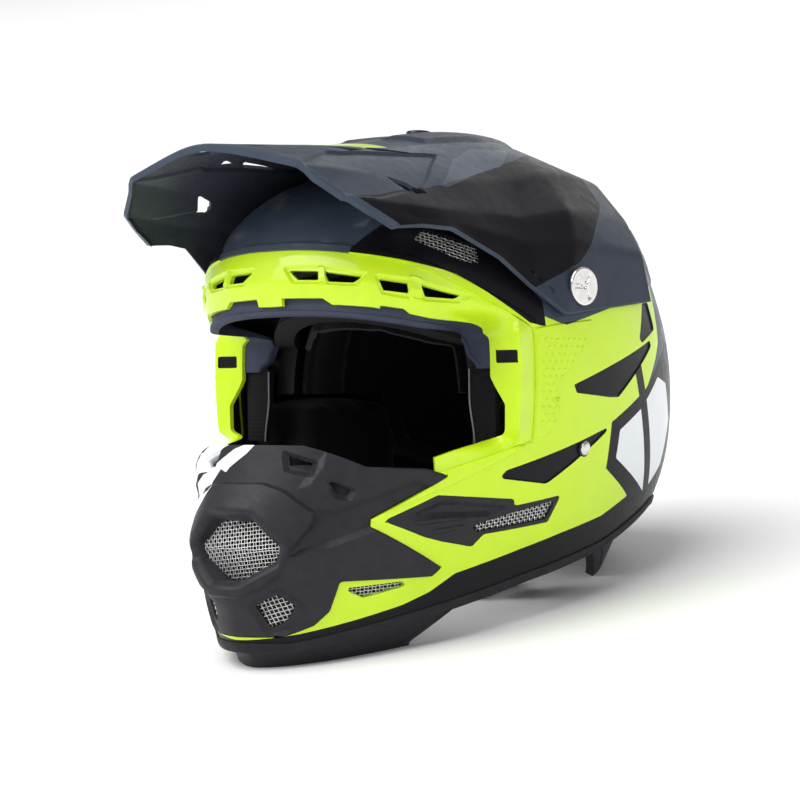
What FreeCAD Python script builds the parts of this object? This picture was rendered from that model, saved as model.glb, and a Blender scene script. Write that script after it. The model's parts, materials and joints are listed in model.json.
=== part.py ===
import FreeCAD, Part
import math
import os
from FreeCAD import Matrix, Rotation, Vector

# A motocross helmet as an assembly of separate pieces, in millimetres.
# It is drawn as worn: +X is the wearer's left, -Y the face, +Z the crown, with Z = 0 at the chin's foot.
# Every piece is then leaned back by REST_PITCH, so that chin skirt and neck guard stand on one plane, and
# the origin moves to the middle of the overall box, on that plane.

# ---- driving dimensions ----
SHELL_WALL = 4.5            # composite shell
GUARD_PROUD = 1.5           # chin guard stands out of the shell
GUARD_DEPTH = 3.0           # and is let into it
BAR_GAP = 0.3               # between the guard and the chin bar behind it
BAR_WALL = 4.2              # chin bar behind the guard
LINER_GAP = 0.5             # between shell and outer liner
FRAME_DEPTH = 14.0          # depth of the eyeport surround
TRIM_WALL = 1.2             # rubber edge moulding each side of the shell
MESH_DEPTH = 1.0            # vent screens lie this far in from the surface
MESH_WALL = 1.0
REST_PITCH = 9.5            # degrees from the worn attitude to standing on a table
BASE_POINT = (-145.0, -4.0)  # y, z of the chin skirt's lowest line, as worn
CUT = 260.0                 # reach of cutting prisms, beyond any piece
BOX_MESH = 0.1              # mesh tolerance when the overall box is measured

VISOR_WALL = 2.2
TILT_PIVOT = (-1.8, 214.0)  # y, z of the visor's tilt axis, which runs along X
SIDE_SCREW_X = 130.5        # outer face of the side screw heads
SCREW_SPLAY = 7.0           # degrees that each side screw points forward
TOP_SCREW_Y = 4.0
LAND_RADIUS = 99.5          # from the tilt axis to the land under the top screw's head
LAND_WALL = 5.0
LAND_HALF_WIDTH = 13.0
LAND_REACH = (-12.0, 26.0)  # y of the land's ends
SCREW_GAP = 0.6             # under screw heads, so the visor can move
THREAD_GAP = 0.05           # running fit of a screw in its insert
SHANK_R = 2.9
SIDE_HEAD_R = 11.5
TOP_HEAD_R = 8.0
SLOT_REACH = (-7.5, 14.5)   # ends of the top screw's slot, ahead of and behind the screw's axis
HEAD_WALL = 2.5
BOSS_R = 13.0               # visor thickening round each side screw

RIVET = (4.0, 118.0)        # y, z of the chin strap rivets
RIVET_R = 3.0
STRAP_WIDTH = 25.0
STRAP_WALL = 2.0

LINER_CENTRE_Y = 20.0
DOME_MID = 150.0            # the liners are straight below this height and domed above it
DAMPER_R = 8.0
DAMPER_GAP = 0.3

# Rings of the shell's outer surface, from below the rim to the crown:
# height, half width, y of the widest place, y of the back, y of the front, fullness of back and of front.
SHELL_RINGS = [
    (-25, 76, 0, 104, -150, 2.3, 1.7),
    (0, 88, 0, 120, -160, 2.3, 1.7),
    (20, 97, 0, 132, -167, 2.3, 1.7),
    (45, 106, 5, 148, -170, 2.3, 1.75),
    (75, 116, 8, 167, -167, 2.35, 1.8),
    (100, 122, 10, 180, -160, 2.4, 1.9),
    (130, 126, 10, 187, -151, 2.4, 2.0),
    (160, 127, 10, 187, -145, 2.4, 2.15),
    (190, 125, 12, 183, -141, 2.35, 2.3),
    (215, 120.5, 14, 175, -138, 2.3, 2.35),
    (240, 112, 17, 162, -130, 2.3, 2.3),
    (261, 99, 20, 142, -114, 2.25, 2.2),
    (277, 81, 22, 117, -90, 2.2, 2.1),
    (288, 59, 24, 89, -60, 2.1, 2.0),
    (294, 35, 25, 60, -28, 2.0, 2.0),
    (297, 14, 25, 39, 8, 2.0, 2.0),
]
RING_POINTS = 32

# Side outlines, as y, z.
RIM_LINE = [(-CUT, 2), (-150, 7), (-103, 21), (-30, 41), (42, 57), (110, 80), (CUT, 88)]
EYE_OPENING = [
    (-CUT, 209), (-139, 208), (-122, 202), (-86, 195), (-54, 181), (-55, 160),
    (-48, 155), (-43, 148), (-43, 128), (-102, 109), (-128, 111), (-146, 123), (-CUT, 124),
]
SHELL_OPENING = [
    (-CUT, 237), (-132, 236), (-104, 226), (-74, 208), (-40, 189), (-40, 124),
    (-101, 105), (-128, 107), (-146, 119), (-CUT, 120),
]
GASKET_INNER = [
    (-CUT, 200), (-139, 199), (-120, 194), (-84, 187), (-62, 177), (-62, 160), (-50, 150),
    (-CUT, 150),
]
GUARD_OUTLINE = [
    (-CUT, 10), (-155, 14), (-144, 21), (-139, 29), (-137, 46), (-91, 47), (-86, 52),
    (-126, 77), (-126, 81), (-90, 105), (-101, 109), (-128, 111), (-146, 124), (-CUT, 125),
]
SIDE_VENT = [
    (-121, 80), (-95, 94), (-48, 90), (-47, 86), (-12, 91), (-19, 75), (-64, 70), (-70, 63),
    (-89, 67), (-99, 70),
]
SIDE_MESH = [(-72, 75.5), (-47, 82), (-16, 88), (-21, 77), (-69, 71.5)]
JAW_MESH = [(-136, 42), (-106, 45), (-105, 42), (-125, 36)]
BROW_MESH = [(-98, 240), (-90, 247), (-66, 236), (-68, 226), (-80, 228)]

# Front outlines, as x, z.
MOUTH = [(-14, 81), (14, 81), (30, 66), (28, 58), (8, 46), (-8, 46), (-28, 58), (-30, 66)]
CHIN_MESH = [(15, 33), (27, 39), (35, 32), (29, 23), (21, 19)]
INTAKES = [
    [(27, 118), (42, 113.5), (40, 109), (29, 112)],
    [(51, 104), (61, 98), (59, 94.5), (54, 97)],
]
BROW_SLOTS = [(12, 35, 222), (38, 59, 220), (72, 86, 215), (89, 101, 210)]   # x from, x to, mid z
BROW_SLOT_HEIGHT = 6.0

# The visor's outer face, in rows from its front edge to its back edge.
# Each row runs from the crest (x = 0) over the shoulder and down the flank to the lower edge, as x, y, z.
VISOR_ROWS = [
    [(0, -191, 294), (34, -187, 289), (67, -182, 281), (90, -167, 261), (96, -152, 252), (100, -138, 244)],
    [(0, -120, 298), (50, -126, 292), (76, -131, 277), (95, -126, 258), (99, -121, 251), (103, -117, 246)],
    [(0, -80, 302), (50, -85, 295), (80, -94, 274), (99, -98, 257), (104, -98, 250), (108, -98, 245)],
    [(0, -40, 308), (47, -45, 299), (83, -62, 276), (102, -66, 257), (112, -68, 244), (119, -68, 229)],
    [(0, 0, 313), (46, -10, 304), (86, -25, 278), (109, -34, 254), (119, -38, 237), (124, -46, 213)],
    [(0, 36, 314), (44, 25, 307), (87, 18, 285), (111.5, 10, 260.5), (122, 2, 239), (129.5, -18, 197)],
    [(0, 76, 308), (38, 68, 302), (79, 84, 283), (103, 82, 258), (117.5, 78, 236), (121.5, 82, 207)],
]


# ---- general helpers ----
def loft(rings):
    """A solid through closed smooth rings, each a list of points."""
    wires = []
    for points in rings:
        curve = Part.BSplineCurve()
        steps = [i / len(points) for i in range(len(points) + 1)]
        curve.interpolate(Points=points, PeriodicFlag=True, Parameters=steps)
        wires.append(Part.Wire([curve.toShape()]))
    return Part.makeLoft(wires, True)


def ring_points(height, half_width, centre, back, front, back_power, front_power):
    """Points round a level ring whose front and back halves are superellipses."""
    points = []
    for i in range(RING_POINTS):
        turn = 2 * math.pi * i / RING_POINTS
        across, along = math.cos(turn), math.sin(turn)
        power = back_power if along >= 0 else front_power
        depth = back - centre if along >= 0 else centre - front
        x = half_width * math.copysign(abs(across) ** (2 / power), across)
        y = centre + depth * math.copysign(abs(along) ** (2 / power), along)
        points.append(Vector(x, y, height))
    return points


def inset_rings(inset):
    """The shell's rings moved inwards by inset along the surface's slope (outwards if negative)."""
    rings = []
    last = len(SHELL_RINGS) - 1
    for i, (height, width, centre, back, front, back_power, front_power) in enumerate(SHELL_RINGS):
        below = SHELL_RINGS[max(i - 1, 0)]
        above = SHELL_RINGS[min(i + 1, last)]
        slope = math.atan2(below[1] - above[1], above[0] - below[0])
        inward = inset * math.cos(slope)
        rings.append((height - inset * math.sin(slope), width - inward, centre, back - inward,
                      front + inward, back_power, front_power))
    return rings


SHELL_VOLUMES = {}


def shell_volume(inset):
    """Everything inside the shell's outer surface moved inwards by inset."""
    if inset not in SHELL_VOLUMES:
        SHELL_VOLUMES[inset] = loft([ring_points(*ring) for ring in inset_rings(inset)])
    return SHELL_VOLUMES[inset]


def layer(outer_inset, inner_inset):
    """The skin between two insets of the shell's surface."""
    return shell_volume(outer_inset).cut(shell_volume(inner_inset))


def prism(points, direction, radius=0.0):
    """A closed outline of points, with rounded corners, extruded along direction."""
    count = len(points)
    if radius == 0:
        return Part.Face(Part.makePolygon(points + points[:1])).extrude(direction)
    arcs = []
    for i, corner in enumerate(points):
        before = (points[i - 1] - corner)
        after = (points[(i + 1) % count] - corner)
        turn = math.pi - before.getAngle(after)
        reach = min(radius * math.tan(turn / 2), 0.45 * before.Length, 0.45 * after.Length)
        start = corner + before.normalize() * reach
        end = corner + after.normalize() * reach
        inner_radius = reach / math.tan(turn / 2)
        middle = (start + end) * 0.5
        sagitta = inner_radius * (1 / math.cos(turn / 2) - 1)
        top = corner + (middle - corner).normalize() * sagitta
        arcs.append((start, top, end))
    edges = []
    for i, (start, top, end) in enumerate(arcs):
        edges.append(Part.LineSegment(arcs[i - 1][2], start).toShape())
        edges.append(Part.Arc(start, top, end).toShape())
    return Part.Face(Part.Wire(edges)).extrude(direction)


def side_prism(outline, radius=0.0, low=-CUT, high=CUT):
    """A side outline (y, z) extruded across the helmet from x = low to x = high."""
    return prism([Vector(low, y, z) for y, z in outline], Vector(high - low, 0, 0), radius)


def front_prism(outline, radius=0.0, low=-CUT, high=-40.0):
    """A front outline (x, z) extruded from y = low to y = high, through the face side only."""
    return prism([Vector(x, low, z) for x, z in outline], Vector(0, high - low, 0), radius)


def block(low, high):
    """A box between two corners."""
    size = [b - a for a, b in zip(low, high)]
    return Part.makeBox(*size, Vector(*low))


def rod(radius, start, end):
    """A cylinder between two points."""
    start, end = Vector(*start), Vector(*end)
    return Part.makeCylinder(radius, (end - start).Length, start, end - start)


def mirrored(shape):
    return shape.mirror(Vector(0, 0, 0), Vector(1, 0, 0))


def below_line(line, shift=0.0):
    """Everything under a side line moved up by shift."""
    raised = [(y, z + shift) for y, z in line]
    return side_prism(raised + [(CUT, -CUT), (-CUT, -CUT)])


def base_height(y):
    """Height of the standing plane at y, in the worn attitude."""
    return BASE_POINT[1] + (y - BASE_POINT[0]) * math.tan(math.radians(REST_PITCH))


def under_base():
    """Everything below the standing plane."""
    return side_prism([(-CUT, base_height(-CUT)), (CUT, base_height(CUT)), (CUT, -CUT), (-CUT, -CUT)])


def joined(shapes):
    """One shape out of overlapping shapes."""
    return shapes[0].multiFuse(shapes[1:]).removeSplitter()


# ---- shell, trims and vents ----
def make_outer_shell():
    skin = layer(0, SHELL_WALL)
    bar_inset = GUARD_DEPTH + BAR_GAP
    bar_front = side_prism([(-CUT, -60), (-80, -60), (-80, 112), (-CUT, 112)])
    bar = layer(bar_inset, bar_inset + BAR_WALL).common(bar_front)
    shell = skin.cut(side_prism(GUARD_OUTLINE)).fuse(bar)
    shell = shell.cut(below_line(RIM_LINE)).cut(side_prism(SHELL_OPENING, 5.0))
    for outline in (SIDE_VENT, JAW_MESH, BROW_MESH):
        shell = shell.cut(side_prism(outline, 2.0))
    for outline in (MOUTH, CHIN_MESH, [(-x, z) for x, z in CHIN_MESH]):
        shell = shell.cut(front_prism(outline, 2.0))
    for side in (1, -1):
        shell = shell.cut(rod(RIVET_R, (side * 90, *RIVET), (side * 140, *RIVET)))
        shell = shell.cut(side_screw_rod(side, SHANK_R + 0.3, -30, 5))
    shell = shell.cut(top_screw_rod(SHANK_R + 0.3, -30, 5))
    shell = shell.cut(rear_vent_slots())
    return shell


def make_rim_trim():
    line_low, line_high = -2.5, 8.0
    band = layer(-TRIM_WALL, SHELL_WALL + TRIM_WALL)
    band = band.common(below_line(RIM_LINE, line_high)).cut(below_line(RIM_LINE, line_low))
    keep_out = layer(0, SHELL_WALL).cut(below_line(RIM_LINE))
    bar_inset = GUARD_DEPTH + BAR_GAP
    front = side_prism([(-CUT, -60), (-80, -60), (-80, 112), (-CUT, 112)])
    keep_out = keep_out.fuse(layer(bar_inset, bar_inset + BAR_WALL).common(front).cut(below_line(RIM_LINE)))
    return band.cut(keep_out)


def make_chin_guard():
    guard = layer(-GUARD_PROUD, GUARD_DEPTH).common(side_prism(GUARD_OUTLINE))
    guard = guard.cut(below_line(RIM_LINE, 8.5))
    guard = guard.cut(side_prism(EYE_OPENING))
    for outline in (MOUTH, CHIN_MESH, [(-x, z) for x, z in CHIN_MESH]):
        guard = guard.cut(front_prism(outline, 2.0))
    for outline in INTAKES:
        for handed in (outline, [(-x, z) for x, z in outline]):
            guard = guard.cut(front_prism(handed, 1.2))
    return guard


def make_front_mesh(outline):
    return layer(MESH_DEPTH, MESH_DEPTH + MESH_WALL).common(front_prism(outline, 2.0))


def make_side_mesh(outline):
    """The left-hand screen of a vent outlined from the side."""
    return layer(MESH_DEPTH, MESH_DEPTH + MESH_WALL).common(side_prism(outline, 2.0, 0.0))


def make_side_vent():
    vent = layer(0.4, SHELL_WALL - 0.3).common(side_prism(SIDE_VENT, 2.0, 0.0))
    return vent.cut(side_prism(SIDE_MESH, 2.0))


def make_chin_skirt():
    wall = layer(SHELL_WALL + TRIM_WALL + 0.1, 10.0)
    region = side_prism([(-CUT, -30), (-88, -30), (-88, 8), (-60, 32), (-60, 44), (-103, 31),
                         (-150, 17), (-CUT, 12)])
    return wall.common(region).cut(under_base()).cut(layer(0, GUARD_DEPTH + BAR_GAP + BAR_WALL + 0.1)
                                                     .cut(below_line(RIM_LINE)))


def make_neck_guard():
    rings = [
        (20, 80, 15, 126, -100, 2.3, 2.0),
        (60, 96, 15, 150, -100, 2.3, 2.0),
        (100, 108, 15, 166, -100, 2.3, 2.0),
    ]
    wall = 4.0
    outer = loft([ring_points(*ring) for ring in rings])
    inner = loft([ring_points(z, w - wall, c, b - wall, f, p, q) for z, w, c, b, f, p, q in rings])
    region = side_prism([(58, 54), (96, 20), (CUT, 20), (CUT, 96), (120, 96), (58, 74)])
    return outer.cut(inner).common(region).cut(under_base())


def make_eyeport_frame():
    frame = layer(-0.3, FRAME_DEPTH)
    frame = frame.common(side_prism(SHELL_OPENING, 5.0)).cut(side_prism(EYE_OPENING, 4.0))
    frame = frame.cut(side_prism([(-CUT, 60), (-96, 60), (-96, 150), (-CUT, 150)]))
    for x_from, x_to, z_mid in BROW_SLOTS:
        low, high = z_mid - BROW_SLOT_HEIGHT / 2, z_mid + BROW_SLOT_HEIGHT / 2
        for side in (1, -1):
            outline = [(side * x_from, low), (side * x_to, low), (side * x_to, high), (side * x_from, high)]
            frame = frame.cut(front_prism(outline, 2.0))
    return frame


def make_eyeport_gasket():
    ring = layer(8.0, 12.0).common(side_prism(EYE_OPENING, 4.0))
    return ring.cut(side_prism(GASKET_INNER, 4.0)).cut(side_prism([(-CUT, 60), (0, 60), (0, 150), (-CUT, 150)]))


def rear_vent_slots():
    """Two exhaust slots through the back of the shell."""
    slots = [block((side * 50 - 14, 80, 226), (side * 50 + 14, CUT, 240)) for side in (1, -1)]
    return slots[0].fuse(slots[1])


def make_rear_spoiler():
    height = 11.0
    hood = layer(-height, -0.2)
    region = side_prism([(98, 290), (122, 276), (150, 262), (172, 240), (174, 212), (140, 212), (100, 250)])
    sides = block((-74, 60, 200), (74, CUT, 300))
    hood = hood.common(region).common(sides)
    for side in (1, -1):
        for z in (222, 236, 250):
            low_x, high_x = side * 46 - 18, side * 46 + 18
            hood = hood.cut(block((low_x, 60, z), (high_x, CUT, z + 6)))
    return hood.cut(block((-18, 60, 200), (18, CUT, 236)))


def make_rear_mesh():
    slots = rear_vent_slots()
    return layer(MESH_DEPTH, MESH_DEPTH + MESH_WALL).common(slots)


# ---- liners ----
def dome(half_width, back, front, top, bottom):
    """An upright elliptical tube below DOME_MID that closes in an ellipsoid above it."""
    rings = []
    for level in (bottom, (bottom + DOME_MID) / 2):
        rings.append((level, half_width, back, front))
    for degrees in (0, 20, 38, 54, 68, 79, 86):
        shrink = math.cos(math.radians(degrees))
        level = DOME_MID + (top - DOME_MID) * math.sin(math.radians(degrees))
        rings.append((level, half_width * shrink, LINER_CENTRE_Y + (back - LINER_CENTRE_Y) * shrink,
                      LINER_CENTRE_Y + (front - LINER_CENTRE_Y) * shrink))
    return loft([ring_points(level, width, LINER_CENTRE_Y, end, start, 2, 2)
                 for level, width, end, start in rings])


def liner_opening(reach):
    """What lies under the liners' lower edge; reach moves that edge out from the eyeport."""
    return side_prism([
        (-CUT, 211 + reach), (-128, 211 + reach), (-86, 198 + reach), (-52, 184 + reach),
        (-38 + reach / 8, 180 + reach / 4), (-38 + reach / 8, 152), (56, 152), (70, 120), (120, 102),
        (CUT, 102), (CUT, -CUT), (-CUT, -CUT)])


OUTER_LINER_INSIDE = (102, 147, -108, 273)
INNER_LINER_OUTSIDE = (97, 142, -103, 268)
INNER_LINER_INSIDE = (84, 128, -90, 256)
COMFORT_OUTSIDE = (83.7, 127.7, -89.7, 255.7)
COMFORT_INSIDE = (78, 121, -84, 250)
TUBE_FOOT = 90.0


def make_outer_liner():
    liner = shell_volume(SHELL_WALL + LINER_GAP).cut(dome(*OUTER_LINER_INSIDE, TUBE_FOOT - 30))
    liner = liner.cut(liner_opening(28.0))
    for side in (1, -1):
        liner = liner.cut(side_screw_rod(side, 8.0, -22, 0))
    return liner.cut(top_screw_rod(9.0, -28, 0))


def make_inner_liner():
    liner = dome(*INNER_LINER_OUTSIDE, TUBE_FOOT).cut(dome(*INNER_LINER_INSIDE, TUBE_FOOT - 10))
    return liner.cut(liner_opening(0.0))


def make_comfort_liner():
    liner = dome(*COMFORT_OUTSIDE, TUBE_FOOT).cut(dome(*COMFORT_INSIDE, TUBE_FOOT - 10))
    return liner.cut(liner_opening(0.0))


def make_dampers():
    """Short elastomer posts that span the gap between the liners, set round the dome."""
    width, back, front, top = INNER_LINER_OUTSIDE
    inner = dome(width + DAMPER_GAP, back + DAMPER_GAP, front - DAMPER_GAP, top + DAMPER_GAP, TUBE_FOOT)
    outer = dome(*OUTER_LINER_INSIDE, TUBE_FOOT - 30)
    centre = Vector(0, LINER_CENTRE_Y, DOME_MID)
    posts = []
    for count, rise, first in ((9, 12, 10), (9, 40, -10), (5, 66, 18), (1, 90, 0)):
        for i in range(count):
            turn = math.radians(first + 360 * i / count)
            climb = math.radians(rise)
            aim = Vector(math.cos(turn) * math.cos(climb), math.sin(turn) * math.cos(climb), math.sin(climb))
            over_the_face = aim.y < -0.55 and rise < 30
            if over_the_face:
                continue
            posts.append(Part.makeCylinder(DAMPER_R, 150, centre + aim * 60, aim))
    gap = outer.cut(inner)
    return Part.makeCompound([gap.common(post) for post in posts])


# ---- cheek pads and chin pad ----
CHEEK_OUTLINE = [
    (-62, 92), (-58, 106), (-44, 113), (-34, 126), (-34, 147), (50, 147), (62, 120), (60, 80),
    (34, 72), (-30, 62), (-58, 70),
]
STUD_PLACES = [(-34, 110), (50, 118), (50, 90)]
STUD_R = 5.0
STRAP_ROOM = [(-14, 134), (22, 134), (46, 30), (-14, 30)]


def stud_rods(radius, x_from):
    rods = [rod(radius, (x_from, y, z), (130, y, z)) for y, z in STUD_PLACES]
    return rods[0].multiFuse(rods[1:])


def make_cheek_pad():
    pad = shell_volume(9.0).common(side_prism(CHEEK_OUTLINE, 10.0, 66.0))
    return pad.cut(side_prism(STRAP_ROOM, 0.0, 96.0)).cut(stud_rods(STUD_R, 98.0))


def make_cheek_studs():
    return stud_rods(STUD_R, 98.0).common(shell_volume(5.6))


def make_cheek_plate():
    plate = layer(SHELL_WALL + 0.3, 7.8).common(side_prism(CHEEK_OUTLINE, 10.0, 66.0))
    plate = plate.cut(stud_rods(STUD_R + 0.4, 90.0)).cut(side_prism(STRAP_ROOM))
    return plate.cut(block((66, -CUT, 30), (140, 20, 97)))


def make_chin_bar_pad():
    pad = layer(GUARD_DEPTH + BAR_GAP + BAR_WALL + 0.4, 24.0)
    pad = pad.common(side_prism([(-CUT, 34), (-98, 40), (-98, 90), (-128, 98), (-CUT, 98)], 6.0))
    return pad.cut(front_prism(MOUTH, 2.0))


# ---- chin strap, drawn hanging straight down from its rivets ----
def ribbon(path, wall, low_y, high_y):
    """A flat band whose middle follows a path of x, z points."""
    above, below = [], []
    for i, (x, z) in enumerate(path):
        before = path[max(i - 1, 0)]
        after = path[min(i + 1, len(path) - 1)]
        heading = Vector(after[0] - before[0], 0, after[1] - before[1]).normalize()
        normal = Vector(-heading.z, 0, heading.x) * (wall / 2)
        above.append(Vector(x, low_y, z) + normal)
        below.append(Vector(x, low_y, z) - normal)
    return prism(above + below[::-1], Vector(0, high_y - low_y, 0))


def hung(shape):
    """Turn the strap about the rivets' axis, so that it hangs plumb when the helmet stands."""
    turned = shape.copy()
    turned.rotate(Vector(0, *RIVET), Vector(1, 0, 0), REST_PITCH)
    return turned


STRAP_LOW = RIVET[0] - STRAP_WIDTH / 2
STRAP_HIGH = RIVET[0] + STRAP_WIDTH / 2
STRAP_SIDE_PATH = [(111.5, 98), (106, 76), (99, 62), (88, 52)]
STRAP_LEFT_PATH = STRAP_SIDE_PATH + [(70, 42), (47, 34.5)]
STRAP_RIGHT_PATH = [(-x, z) for x, z in STRAP_SIDE_PATH] + [
    (-70, 42), (-45, 34), (-15, 30), (14, 29), (30, 29.5), (34.5, 33), (34.5, 40), (31, 43.5),
    (10, 44), (-20, 44), (-46, 46)]
RING_BAR_X = 40.0
RING_HEIGHTS = (34.5, 38.9)    # z of the two D-rings' wires
RING_R = 16.0
WIRE_R = 1.8


def make_strap_tab():
    tab = block((112.0, RIVET[0] - 11, 92), (114.0, RIVET[0] + 11, 130))
    hole = rod(RIVET_R + THREAD_GAP, (100, *RIVET), (130, *RIVET))
    return hung(tab.cut(hole))


def make_strap(path):
    return hung(ribbon(path, STRAP_WALL, STRAP_LOW, STRAP_HIGH))


def make_strap_pad():
    """The soft sleeve's upper side, where the left strap lies under the jaw."""
    return hung(ribbon([(84, 53), (70, 45.4), (56, 40.6)], 4.0, STRAP_LOW - 3, STRAP_HIGH + 3))


def make_d_ring(z):
    middle = Vector(RING_BAR_X, RIVET[0], z)
    bow = Part.makeTorus(RING_R, WIRE_R, middle, Vector(0, 0, 1))
    bow = bow.common(block((0, -50, 0), (RING_BAR_X, 60, 60)))
    bar = rod(WIRE_R, (RING_BAR_X, RIVET[0] - RING_R, z), (RING_BAR_X, RIVET[0] + RING_R, z))
    tips = [Part.makeSphere(WIRE_R, Vector(RING_BAR_X, RIVET[0] + side * RING_R, z)) for side in (1, -1)]
    return hung(joined([bow, bar] + tips))


def make_strap_snap():
    """The press stud that holds the strap's loose end down."""
    return hung(rod(6.5, (-36, RIVET[0], 46.4), (-36, RIVET[0], 49.0)))


def make_strap_rivet(side):
    head = rod(5.5, (side * 126.6, *RIVET), (side * 128.2, *RIVET))
    shank = rod(RIVET_R, (side * 111.0, *RIVET), (side * 127.0, *RIVET))
    peen = rod(5.5, (side * 109.6, *RIVET), (side * 111.6, *RIVET))
    return joined([shank, head, peen])


# ---- visor and its screws ----
def side_screw_point(side, depth):
    """A point on a side screw's axis, depth outwards from its head's outer face."""
    splay = math.radians(SCREW_SPLAY)
    return Vector(side * (SIDE_SCREW_X + depth * math.cos(splay)), TILT_PIVOT[0] - depth * math.sin(splay),
                  TILT_PIVOT[1])


def side_screw_rod(side, radius, start, end):
    return rod(radius, side_screw_point(side, start), side_screw_point(side, end))


def top_screw_point(height):
    """A point on the top screw's axis, height above the visor's top land."""
    rise = math.sqrt(LAND_RADIUS ** 2 - (TOP_SCREW_Y - TILT_PIVOT[0]) ** 2)
    out = Vector(0, TOP_SCREW_Y - TILT_PIVOT[0], rise).normalize()
    return Vector(0, *TILT_PIVOT) + out * (LAND_RADIUS + height)


def top_screw_rod(radius, start, end):
    return rod(radius, top_screw_point(start), top_screw_point(end))


def visor_grid():
    """Both sides of the visor's outer face, rows of points from right to left."""
    return [[Vector(-x, y, z) for x, y, z in row[:0:-1]] + [Vector(*point) for point in row]
            for row in VISOR_ROWS]


def grid_normals(grid):
    """Mean outward directions at the grid's points."""
    normals = []
    rows, columns = len(grid), len(grid[0])
    for i in range(rows):
        normals.append([])
        for j in range(columns):
            back = grid[min(i + 1, rows - 1)][j] - grid[max(i - 1, 0)][j]
            left = grid[i][min(j + 1, columns - 1)] - grid[i][max(j - 1, 0)]
            normals[-1].append(left.cross(back).normalize())
    return normals


def triangles(a, b, c, d):
    return [Part.Face(Part.makePolygon([a, b, c, a])), Part.Face(Part.makePolygon([a, c, d, a]))]


def visor_plate():
    """The faceted plate of even thickness under the visor's outer face."""
    outer = visor_grid()
    normals = grid_normals(outer)
    inner = [[point - normal * VISOR_WALL for point, normal in zip(*pair)] for pair in zip(outer, normals)]
    rows, columns = len(outer), len(outer[0])
    faces = []
    for i in range(rows - 1):
        for j in range(columns - 1):
            for face, flip in ((outer, False), (inner, True)):
                corners = [face[i][j], face[i][j + 1], face[i + 1][j + 1], face[i + 1][j]]
                faces += triangles(*(corners[::-1] if flip else corners))
    edge = [(0, j) for j in range(columns)] + [(i, columns - 1) for i in range(1, rows)]
    edge += [(rows - 1, j) for j in range(columns - 2, -1, -1)] + [(i, 0) for i in range(rows - 2, 0, -1)]
    for (i, j), (k, m) in zip(edge, edge[1:] + edge[:1]):
        faces += triangles(outer[k][m], outer[i][j], inner[i][j], inner[k][m])
    return Part.makeSolid(Part.makeShell(faces))


def pivot_drum(radius):
    """A drum round the visor's tilt axis, as wide as the top land."""
    return rod(radius, (-LAND_HALF_WIDTH, *TILT_PIVOT), (LAND_HALF_WIDTH, *TILT_PIVOT))


def make_visor():
    under_head = -HEAD_WALL - SCREW_GAP
    pieces = [visor_plate()]
    pieces += [side_screw_rod(side, BOSS_R, under_head - 2.6, under_head) for side in (1, -1)]
    over_land = block((-CUT, LAND_REACH[0], 280), (CUT, LAND_REACH[1], 340))
    pieces.append(pivot_drum(LAND_RADIUS).cut(pivot_drum(LAND_RADIUS - LAND_WALL)).common(over_land))
    visor = joined(pieces)
    for side in (1, -1):
        visor = visor.cut(side_screw_rod(side, SHANK_R + 0.6, -20, 10))
        visor = visor.cut(side_screw_rod(side, SIDE_HEAD_R + 0.8, under_head, 10))
        vent = [(side * 14, -176), (side * 30, -173), (side * 30, -150), (side * 10, -150)]
        visor = visor.cut(prism([Vector(x, y, 200) for x, y in vent], Vector(0, 0, 140)))
    half = SHANK_R + 0.6
    floor = top_screw_point(0).z - 30
    slot = [Vector(x, TOP_SCREW_Y + y, floor) for x, y in (
        (half, SLOT_REACH[0]), (half, SLOT_REACH[1]), (-half, SLOT_REACH[1]), (-half, SLOT_REACH[0]))]
    visor = visor.cut(prism(slot, Vector(0, 0, 60), SHANK_R + 0.5))
    above_land = block((-LAND_HALF_WIDTH + 1, LAND_REACH[0] + 1, 290), (LAND_HALF_WIDTH - 1, LAND_REACH[1] - 1, 340))
    return visor.cut(above_land.cut(pivot_drum(LAND_RADIUS)))


def make_side_screw(side):
    head = side_screw_rod(side, SIDE_HEAD_R, -HEAD_WALL, 0)
    shank = side_screw_rod(side, SHANK_R, -20.0, -2.0)
    return joined([head, shank])


def make_top_screw():
    head = top_screw_rod(TOP_HEAD_R, SCREW_GAP, SCREW_GAP + HEAD_WALL)
    return joined([head, top_screw_rod(SHANK_R, -27.0, 1.0)])


def make_side_nut(side):
    nut = side_screw_rod(side, 6.5, -21.5, -13.5).common(shell_volume(SHELL_WALL + 0.1))
    return nut.cut(side_screw_rod(side, SHANK_R + THREAD_GAP, -30, 0))


def make_top_nut():
    nut = top_screw_rod(7.5, -27.5, -18.0).common(shell_volume(SHELL_WALL + 0.1))
    return nut.cut(top_screw_rod(SHANK_R + THREAD_GAP, -30, 0))


def make_visor_post():
    post = top_screw_rod(9.0, -20, -LAND_WALL - 1.0).cut(shell_volume(-0.1))
    return post.cut(top_screw_rod(SHANK_R + 0.3, -30, 0))


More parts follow.
